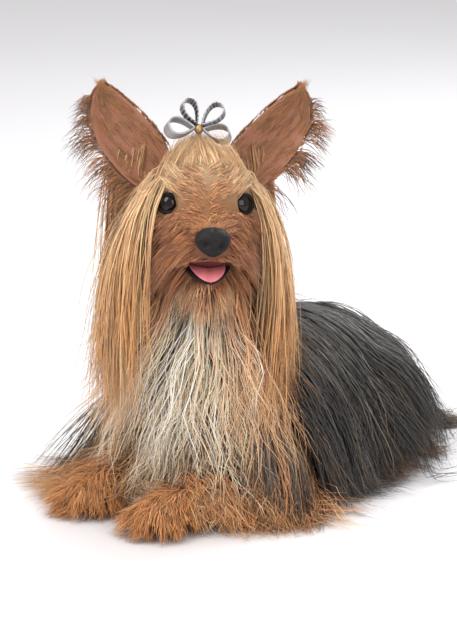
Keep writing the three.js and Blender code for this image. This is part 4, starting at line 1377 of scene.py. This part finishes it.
class OBJECT_OT_terrier_eyes(bpy.types.Operator):
    """Set the eyeballs and their dark rims in the head"""

    bl_idname = "object.terrier_eyes"
    bl_label = "Eyes"

    def execute(self, context):
        material, rim = eye_material(), leather_material("eye rim", colour("nose"), 0.4)
        for side, word in SIDE_WORDS:
            eye = ball(on_head(mirrored(EYE_PLACE, side)), (EYE_RADIUS,) * 3, HEAD_TURNED, 40, 24)
            dressed(smooth(settle(eye)), "eyeball_" + word, material, ["eye_" + word])
            lid = tube("lid_" + word, lid_points(side), [LID_BAR] * LID_POINTS, closed=True)
            dressed(lid, "lid_" + word, rim)
        return {"FINISHED"}


# Shapes of the muzzle, in the head's frame
NOSE_Y, NOSE_Z, NOSE_HALF = -64, -18, (11.2, 7.2, 9.4)
NOSTRIL, NOSTRIL_DEPTH, NOSTRIL_RADIUS = Vector((5.2, -70, -19.5)), 3.2, 2.2
CLEFT_DEPTH, CLEFT_HALF_WIDTH = 1.1, 0.8
# Places along the lips and the bar's half thickness, from the left corner to the middle
UPPER_LIP = [
    (19, -17, -27, 1.5),
    (15.5, -36, -29, 1.8),
    (10, -52, -28.5, 1.9),
    (3.2, -60.5, -27.5, 1.7),
    (0, -61.5, -26.6, 1.5),
]
LOWER_LIP = [(18.5, -17, -28, 1.4), (14.5, -32, -34.5, 1.9), (8, -46, -41, 2.0), (0, -51, -43.5, 2.0)]
TONGUE_TIP_Y, TONGUE_LENGTH, TONGUE_HALF_WIDTH, TONGUE_HALF_HEIGHT = -57, 38, 11.6, 2.4


def nose_shape(p):
    """A unit ball's vertex, taken to the nose: wider above, with nostrils and a cleft in front."""
    wide, deep, high = NOSE_HALF
    q = Vector((p.x * (wide * (1 + 0.16 * p.z)), NOSE_Y + p.y * deep + 1.2 * p.z, NOSE_Z + p.z * high))
    q.x *= 1 - 0.25 * max(0.0, -p.z) ** 2
    in_front = p.y < 0
    for side in SIDES:
        near = math.hypot(q.x - side * NOSTRIL.x, 1.2 * (q.z - NOSTRIL.z))
        q.y += NOSTRIL_DEPTH * math.exp(-((near / NOSTRIL_RADIUS) ** 2)) * in_front
    q.y += CLEFT_DEPTH * math.exp(-((q.x / CLEFT_HALF_WIDTH) ** 2)) * in_front
    return on_head(q) * MM


def tongue_shape(p):
    """A unit ball's vertex, taken to the tongue: a cupped, grooved blade that droops at its tip."""
    along = between((p.y + 1) / 2)  # 0 at the tip
    height = -40.5 + 8 * along**0.7 - 3.2 * (1 - along) ** 3
    cup = 1.6 * (p.x**2) - 1.0 * math.exp(-((p.x / 0.16) ** 2)) * (p.z > 0)
    y = TONGUE_TIP_Y + TONGUE_LENGTH * along
    return on_head((p.x * TONGUE_HALF_WIDTH, y, height + p.z * TONGUE_HALF_HEIGHT + cup)) * MM


def lip(name, half, points, material):
    """A lip from corner to corner, from the rows of its left half."""
    rows = spread([*half, *((-x, *rest) for x, *rest in reversed(half[:-1]))], points)
    bar = tube(name, [on_head(row[:3]) for row in rows], [row[3] for row in rows])
    return dressed(bar, name, material)


def tongue_material():
    sheet = Sheet("tongue")
    fine = sheet.noise(1500, 4)
    shade = sheet.mix(fine * 0.5, opaque(colour("tongue")), (0.62, 0.14, 0.16, 1))
    return sheet.finish(Base_Color=shade, Roughness=0.3, Normal=sheet.bump(fine, 0.4, 0.0005))


class OBJECT_OT_terrier_muzzle(bpy.types.Operator):
    """Shape the nose, the lips and the tongue"""

    bl_idname = "object.terrier_muzzle"
    bl_label = "Nose, lips and tongue"

    def execute(self, context):
        leather = leather_material("nose leather", colour("nose"), 0.28)
        nose = reshape(unit_ball(48, 32), nose_shape)
        dressed(smooth(nose), "nose_leather", leather, ["nose"])
        skin = leather_material("lip", colour("nose"), 0.4)
        lip("lip_upper", UPPER_LIP, 40, skin)
        lip("lip_lower", LOWER_LIP, 36, skin)
        # Lining of the mouth: its own dark red, painted near black for the shade inside the open mouth
        mouth = settle(ball(on_head((0, -30, -31)), (14.5, 22, 6), HEAD_TURNED, 32, 20))
        lining = leather_material("mouth lining and shade", (0.06, 0.012, 0.012), 0.5)
        dressed(smooth(mouth), "mouth_lining_and_shade", lining)
        tongue = reshape(unit_ball(40, 24), tongue_shape)
        dressed(smooth(tongue), "tongue_flesh", tongue_material(), ["tongue"])
        return {"FINISHED"}


# Ears

# x and z of the ear's two edges in the head's frame, from root to tip, and the depth of its cup
EAR_INNER = [(17, 28), (22, 41), (31, 52), (43, 64), (54, 73), (61, 77.5)]
EAR_OUTER = [(34, 6), (52, 21), (66, 38), (72.5, 56), (71, 70), (66, 77)]
EAR_CUP = [4, 8.5, 9, 7, 4, 1]
EAR_ROOT_Y, EAR_TIP_Y = 9, 2
EAR_THICKNESS = 2.2


def ear_place(side, u, v):
    """A point on the ear's middle surface: u from its inner to its outer edge, v from root to tip."""
    row = np.array([(*i, *o, c) for i, o, c in zip(EAR_INNER, EAR_OUTER, EAR_CUP)])
    at = v * (len(row) - 1)
    low = min(int(at), len(row) - 2)
    xi, zi, xo, zo, cup = row[low] * (1 - at + low) + row[low + 1] * (at - low)
    y = EAR_ROOT_Y + (EAR_TIP_Y - EAR_ROOT_Y) * v + cup * (1 - (2 * u - 1) ** 2) + 4 * u
    return on_head((side * (xi + (xo - xi) * u), y, zi + (zo - zi) * u))


def ear_patch(u, v):
    """The texture place of hair that grows from an ear."""
    return 0.02 + 0.96 * u, 0.02 + 0.96 * v


def ear_cup(side):
    """The cupped leaf of an ear."""
    bpy.ops.object.select_all(action="DESELECT")
    bpy.ops.mesh.primitive_grid_add(x_subdivisions=12, y_subdivisions=16, size=2)
    ear = reshape(bpy.context.object, lambda p: ear_place(side, (p.x + 1) / 2, (p.y + 1) / 2) * MM)
    modify(ear, "SOLIDIFY", thickness=EAR_THICKNESS * MM, offset=0)
    modify(ear, "SUBSURF", levels=1, render_levels=1)
    return smooth(face_out(ear))


def ear_material():
    sheet = Sheet("ear leather")
    fine = sheet.noise(700, 4)
    shade = sheet.mix(sheet.noise(60, 2), (0.42, 0.19, 0.12, 1), (0.3, 0.12, 0.06, 1))
    shade = sheet.mix(fine * 0.5, shade, (0.16, 0.06, 0.03, 1))
    return sheet.finish(Base_Color=shade, Roughness=0.7, Normal=sheet.bump(fine, 0.5, 0.0006))


EAR_TUFTS, TUFT_HAIRS, EAR_STEPS = 420, 7, 4
EAR_SEED = 90
EarHair = namedtuple("EarHair", "share shortest longest half_width fall")
# Share of the tufts, shortest and longest hair and half width in millimetres, and how it turns to its pull
EAR_HAIRS = {
    "back": EarHair(0.22, 4, 8, 0.38, 0.05),
    "rim": EarHair(0.34, 2, 4, 0.3, 0.05),
    "lining": EarHair(0.3, 6, 14, 0.26, 0.12),
    "fringe": EarHair(0.14, 14, 42, 0.2, 0.38),
}


def ear_root(rng, kind):
    """Where a tuft of one kind stands on an ear: u from its inner to its outer edge, v from root to tip."""
    u, v = rng.uniform(0.03, 0.97), rng.uniform(0.02, 0.97)
    if kind == "rim":
        return between(round(u) + rng.normal(0, 0.03)), v
    if kind == "fringe":
        return 1 - abs(rng.normal(0, 0.04)), rng.uniform(0.0, 0.8)
    if kind == "lining":
        return rng.uniform(0.0, 1.0), rng.uniform(0.0, 0.96)
    return rng.uniform(0.05, 0.85), v


def ear_ways(side, u, v):
    """A place on an ear, and the ways to its tip, to its outer edge and out of its back."""
    p = ear_place(side, u, v)
    tipward = (ear_place(side, u, min(1, v + 0.04)) - p).normalized()
    outward = (ear_place(side, min(1, u + 0.05), v) - ear_place(side, max(0, u - 0.05), v)).normalized()
    back = outward.cross(tipward)
    if back.dot(HEAD_TURNED @ Vector((0, 1, 0))) < 0:
        back = -back
    return p, tipward, outward, back


def ear_line(rng, root, way, pull, length, fall):
    """The line of one hair, which turns from its way to the pull."""
    points = [root.copy()]
    for _ in range(EAR_STEPS):
        way = (way.lerp(pull, fall) + Vector(rng.normal(0, 0.4 * fall, 3))).normalized()
        points.append(points[-1] + way * (length * rng.uniform(0.8, 1.15) / EAR_STEPS))
    return points


def ear_shades(rng, dark, tone):
    """Colours along one hair, for the corners of its rings and its tip."""
    end = tone["steel"] if dark else tone["drab"] if rng.uniform() < 0.3 else tone["tan"]
    root = (tone["tan"] * 0.7 + tone["rust"] * 0.3) * rng.uniform(0.6, 1.2)
    t = np.linspace(0, 1, EAR_STEPS + 1)[:, None]
    row = root * (1 - t) + end * t
    return np.concatenate([np.repeat(row[:-1], CORNERS, axis=0), row[-1:]])


def ear_hair(side, word):
    """Short hair over an ear's back and rim, thin hair in its cup, and wisps from its outer edge."""
    rng = np.random.default_rng(EAR_SEED + side)
    lines, outs, half, shades, spots = [], [], [], [], []
    tone = {name: np.array(colour(name)) for name in ("tan", "rust", "steel", "drab")}
    kinds = rng.choice(list(EAR_HAIRS), size=EAR_TUFTS, p=[hair.share for hair in EAR_HAIRS.values()])
    for kind in kinds:
        hair = EAR_HAIRS[kind]
        u, v = ear_root(rng, kind)
        p, tipward, outward, back = ear_ways(side, u, v)
        normal = -back if kind == "lining" else back
        length = rng.uniform(hair.shortest, hair.longest)
        way, pull, dark, scatter = tipward + outward * 0.1, tipward + outward * 0.4, False, 1.0
        if kind in ("rim", "fringe"):
            way = tipward + outward * (0.7 if u > 0.5 else -0.5)
        if kind == "rim":
            scatter = 0.3
        if kind == "fringe":
            length *= 1.15 - v
            pull = Vector((0, 0, -1)) + outward * rng.uniform(0.1, 1.0)
            dark = rng.uniform() < 0.6
        way, pull = (way + normal * 0.12).normalized(), pull.normalized()
        for _ in range(TUFT_HAIRS):
            root = p + normal * 1.1 + tipward * rng.normal(0, 1.6) + outward * rng.normal(0, scatter)
            lines.append(ear_line(rng, root, way, pull, length, hair.fall))
            outs.append([normal] * (EAR_STEPS + 1))
            half.append(hair.half_width * rng.uniform(0.8, 1.2))
            shades.append(ear_shades(rng, dark, tone))
            spots.append(ear_patch(u, v))
    lines, outs, half, shades, spots = (np.array(rows, float) for rows in (lines, outs, half, shades, spots))
    return strand_mesh("ear_hair_" + word, lines, outs, half, spots, np.clip(shades, 0, 1))


class OBJECT_OT_terrier_ears(bpy.types.Operator):
    """Shape the cupped ears and grow their fringe"""

    bl_idname = "object.terrier_ears"
    bl_label = "Ears"

    def execute(self, context):
        leather, hair = ear_material(), hair_material("ear hair", 0.5)
        for side, word in SIDE_WORDS:
            dressed(ear_cup(side), "ear_cup_" + word, leather, ["ear_" + word])
            dressed(ear_hair(side, word), "ear_hair_" + word, hair)
        return {"FINISHED"}


# Bow

# Where each loop reaches from the knot, how far it bulges, how wide it is, and whether it is braided
BOW_LOOPS = {
    "bow_loop_top_left": ((15, 0, 15), 7, 6.5, True),
    "bow_loop_top_right": ((-9, 0, 18), 7, 6.5, True),
    "bow_loop_low_left": ((20, -2, -4), 7, 9, False),
    "bow_loop_low_right": ((-21, -2, 1), 8, 9, False),
}
LOOP_START = 3.4  # from the middle of the knot
LOOP_NARROW, LOOP_WIDENING = 0.55, 0.45  # of a loop's full width, at the knot and on to its far end
LOOP_PINCH = 0.6  # height of the folds at the knot
KNOT_RADII = (3.0, 3.4, 3.4)


def braid_material():
    """Dark squares and squares of the ribbon's colour set aslant, as in braided cord."""
    sheet = Sheet("braided ribbon")
    values = {"Vector": sheet.place("UV"), "Rotation": (0, 0, 0.785), "Scale": (26, 5, 1)}
    turned = sheet.node("ShaderNodeMapping", None, values)
    squares = sheet.node("ShaderNodeTexChecker", None, {"Vector": turned, "Scale": 1.0}, output=1)
    shade = sheet.mix(squares, (0.05, 0.045, 0.045, 1), opaque(colour("ribbon")))
    return finish_ribbon(sheet, shade, squares)


def satin_material():
    """Fine pale bands across smooth ribbon."""
    sheet = Sheet("satin ribbon")
    settings = {"wave_type": "BANDS", "bands_direction": "X"}
    values = {"Vector": sheet.place("UV"), "Scale": 60.0, "Distortion": 0.6}
    weave = sheet.node("ShaderNodeTexWave", settings, values, output=1)
    shade = sheet.mix(weave * 0.35, opaque(colour("ribbon")), (0.62, 0.62, 0.64, 1))
    return finish_ribbon(sheet, shade, weave)


def finish_ribbon(sheet, shade, height):
    bump = sheet.bump(height, 0.3, 0.0002)
    return sheet.finish(Base_Color=shade, Roughness=0.3, Normal=bump, Metallic=0.45)


def gold_material():
    sheet = Sheet("gold bead")
    fine = sheet.noise(1200)
    shade = sheet.mix(fine, (0.3, 0.16, 0.06, 1), (0.5, 0.33, 0.16, 1))
    bump = sheet.bump(fine, 0.6, 0.0004)
    return sheet.finish(Base_Color=shade, Roughness=0.32, Normal=bump, Metallic=0.7)


def ribbon_loop(reach, bulge, width):
    """A band that leaves the knot, turns round at its far end and comes back."""
    along = Vector(reach)
    length = along.length
    along.normalize()
    across = Vector((-0.35 if along.x > 0 else 0.35, -1, 0.62)).normalized()
    lift = across.cross(along).normalized()

    def loop_shape(p):
        angle = math.pi * (p.x + 1)
        out = (1 - math.cos(angle)) / 2
        middle = BOW_KNOT + along * (LOOP_START + (length - LOOP_START) * out)
        middle = middle + lift * (bulge * math.sin(angle) * math.sqrt(out))
        half = width / 2 * (LOOP_NARROW + LOOP_WIDENING * out)
        pinch = LOOP_PINCH * (1 - out) * math.cos(3 * math.pi * p.y)
        return on_head(middle + across * (p.y * half) + lift * pinch) * MM

    bpy.ops.object.select_all(action="DESELECT")
    bpy.ops.mesh.primitive_grid_add(x_subdivisions=36, y_subdivisions=8, size=2, calc_uvs=True)
    band = face_out(reshape(bpy.context.object, loop_shape))
    modify(band, "SOLIDIFY", thickness=sizes().ribbon, offset=0)
    return smooth(face_out(band))


class OBJECT_OT_terrier_bow(bpy.types.Operator):
    """Tie the ribbon bow on the crown"""

    bl_idname = "object.terrier_bow"
    bl_label = "Bow"

    def execute(self, context):
        braid, satin = braid_material(), satin_material()
        for name, (reach, bulge, width, braided) in BOW_LOOPS.items():
            band = ribbon_loop(reach, bulge, width)
            dressed(band, name + "_ribbon", braid if braided else satin, [name])
        knot = settle(ball(on_head(BOW_KNOT), KNOT_RADII, HEAD_TURNED, 28, 18))
        dressed(smooth(knot), "bow_bead", gold_material(), ["bow_knot"])
        return {"FINISHED"}


# Stage

CAMERA_TARGET = Vector((36.3, -114.1, 135.7))  # the photo's centre, at the depth of the eyes
CAMERA_AZIMUTH, CAMERA_ELEVATION = 32.0, 14.0  # degrees
CAMERA_DISTANCE = 1684.0
IMAGE_HEIGHT = 640  # of the photo, in pixels
PIXELS_PER_MM = 1.55  # in the photo, at the face
SENSOR = 36.0
LAMP_TARGET = Vector((0, -60, 110))
# Place and size of each lamp in millimetres, its power in watts and its tint
LAMPS = {
    "key": ((-600, -1500, 1500), 1100, 26, (1.0, 0.98, 0.95)),
    "fill": ((1500, -900, 900), 1200, 14, (1.0, 0.97, 0.95)),
    "rim": ((200, 1500, 1300), 900, 22, (0.96, 0.98, 1.0)),
    "top": ((0, 0, 1900), 1400, 12, (1.0, 1.0, 1.0)),
}
WORLD_TINT, WORLD_STRENGTH = (0.93, 0.92, 0.93), 0.75
TABLE_SIZE, TABLE_TOP = 12, -0.0005  # metres


def lay_table():
    bpy.ops.object.select_all(action="DESELECT")
    bpy.ops.mesh.primitive_plane_add(size=TABLE_SIZE, location=(0, 0, TABLE_TOP))
    table = settle(bpy.context.object)
    table.name = "floor"
    sheet = Sheet("pale table")
    shade = sheet.mix(sheet.noise(3, 2), opaque(colour("floor")), (0.78, 0.77, 0.78, 1))
    table.data.materials.append(sheet.finish(Base_Color=shade, Roughness=0.35))


def hang_lamps(scene):
    for name, (place, size, power, tint) in LAMPS.items():
        light = bpy.data.lights.new(name, "AREA")
        light.size, light.energy, light.color = size * MM, power, tint
        lamp = bpy.data.objects.new(name, light)
        lamp.location = Vector(place) * MM
        lamp.rotation_euler = (LAMP_TARGET - Vector(place)).to_track_quat("-Z", "Y").to_euler()
        scene.collection.objects.link(lamp)
    scene.world = bpy.data.worlds.new("studio")
    scene.world.use_nodes = True
    background = scene.world.node_tree.nodes["Background"]
    background.inputs["Color"].default_value = opaque(WORLD_TINT)
    background.inputs["Strength"].default_value = WORLD_STRENGTH


def set_camera(scene):
    data = bpy.data.cameras.new("camera")
    data.sensor_width = data.sensor_height = SENSOR
    data.lens = PIXELS_PER_MM * CAMERA_DISTANCE / IMAGE_HEIGHT * SENSOR
    data.clip_start, data.clip_end = 0.05, 50
    camera = bpy.data.objects.new("camera", data)
    a, e = math.radians(CAMERA_AZIMUTH), math.radians(CAMERA_ELEVATION)
    back = Vector((math.sin(a) * math.cos(e), -math.cos(a) * math.cos(e), math.sin(e)))
    camera.location = (CAMERA_TARGET + back * CAMERA_DISTANCE) * MM
    camera.rotation_euler = (-back).to_track_quat("-Z", "Y").to_euler()
    scene.collection.objects.link(camera)
    scene.camera = camera


class OBJECT_OT_terrier_stage(bpy.types.Operator):
    """Lay the pale table, light it softly and set the camera at the photo's angle"""

    bl_idname = "object.terrier_stage"
    bl_label = "Stage"

    def execute(self, context):
        lay_table()
        hang_lamps(context.scene)
        set_camera(context.scene)
        context.scene.view_settings.view_transform = "Standard"
        return {"FINISHED"}


class VIEW3D_PT_terrier(bpy.types.Panel):
    """Lists the steps that build the terrier"""

    bl_label = "Terrier"
    bl_space_type = "VIEW_3D"
    bl_region_type = "UI"
    bl_category = "Terrier"

    def draw(self, context):
        for operator in OPERATORS:
            self.layout.operator(operator.bl_idname)
        for group in (context.scene.terrier_sizes, context.scene.terrier_colours):
            for key in group.__annotations__:
                self.layout.prop(group, key)


OPERATORS = (
    OBJECT_OT_terrier_stage,
    OBJECT_OT_terrier_skin,
    OBJECT_OT_terrier_eyes,
    OBJECT_OT_terrier_muzzle,
    OBJECT_OT_terrier_ears,
    OBJECT_OT_terrier_bow,
    OBJECT_OT_terrier_coat,
)
CLASSES = (TerrierColours, TerrierSizes, *OPERATORS, VIEW3D_PT_terrier)


def register():
    for cls in CLASSES:
        bpy.utils.register_class(cls)
    bpy.types.Scene.terrier_sizes = bpy.props.PointerProperty(type=TerrierSizes)
    bpy.types.Scene.terrier_colours = bpy.props.PointerProperty(type=TerrierColours)


def unregister():
    del bpy.types.Scene.terrier_colours
    del bpy.types.Scene.terrier_sizes
    for cls in reversed(CLASSES):
        bpy.utils.unregister_class(cls)


def main():
    register()
    bpy.ops.object.terrier_stage()
    bpy.ops.object.terrier_skin()
    bpy.ops.object.terrier_eyes()
    bpy.ops.object.terrier_muzzle()
    bpy.ops.object.terrier_ears()
    bpy.ops.object.terrier_bow()
    bpy.ops.object.terrier_coat()


if __name__ == "__main__":
    main()
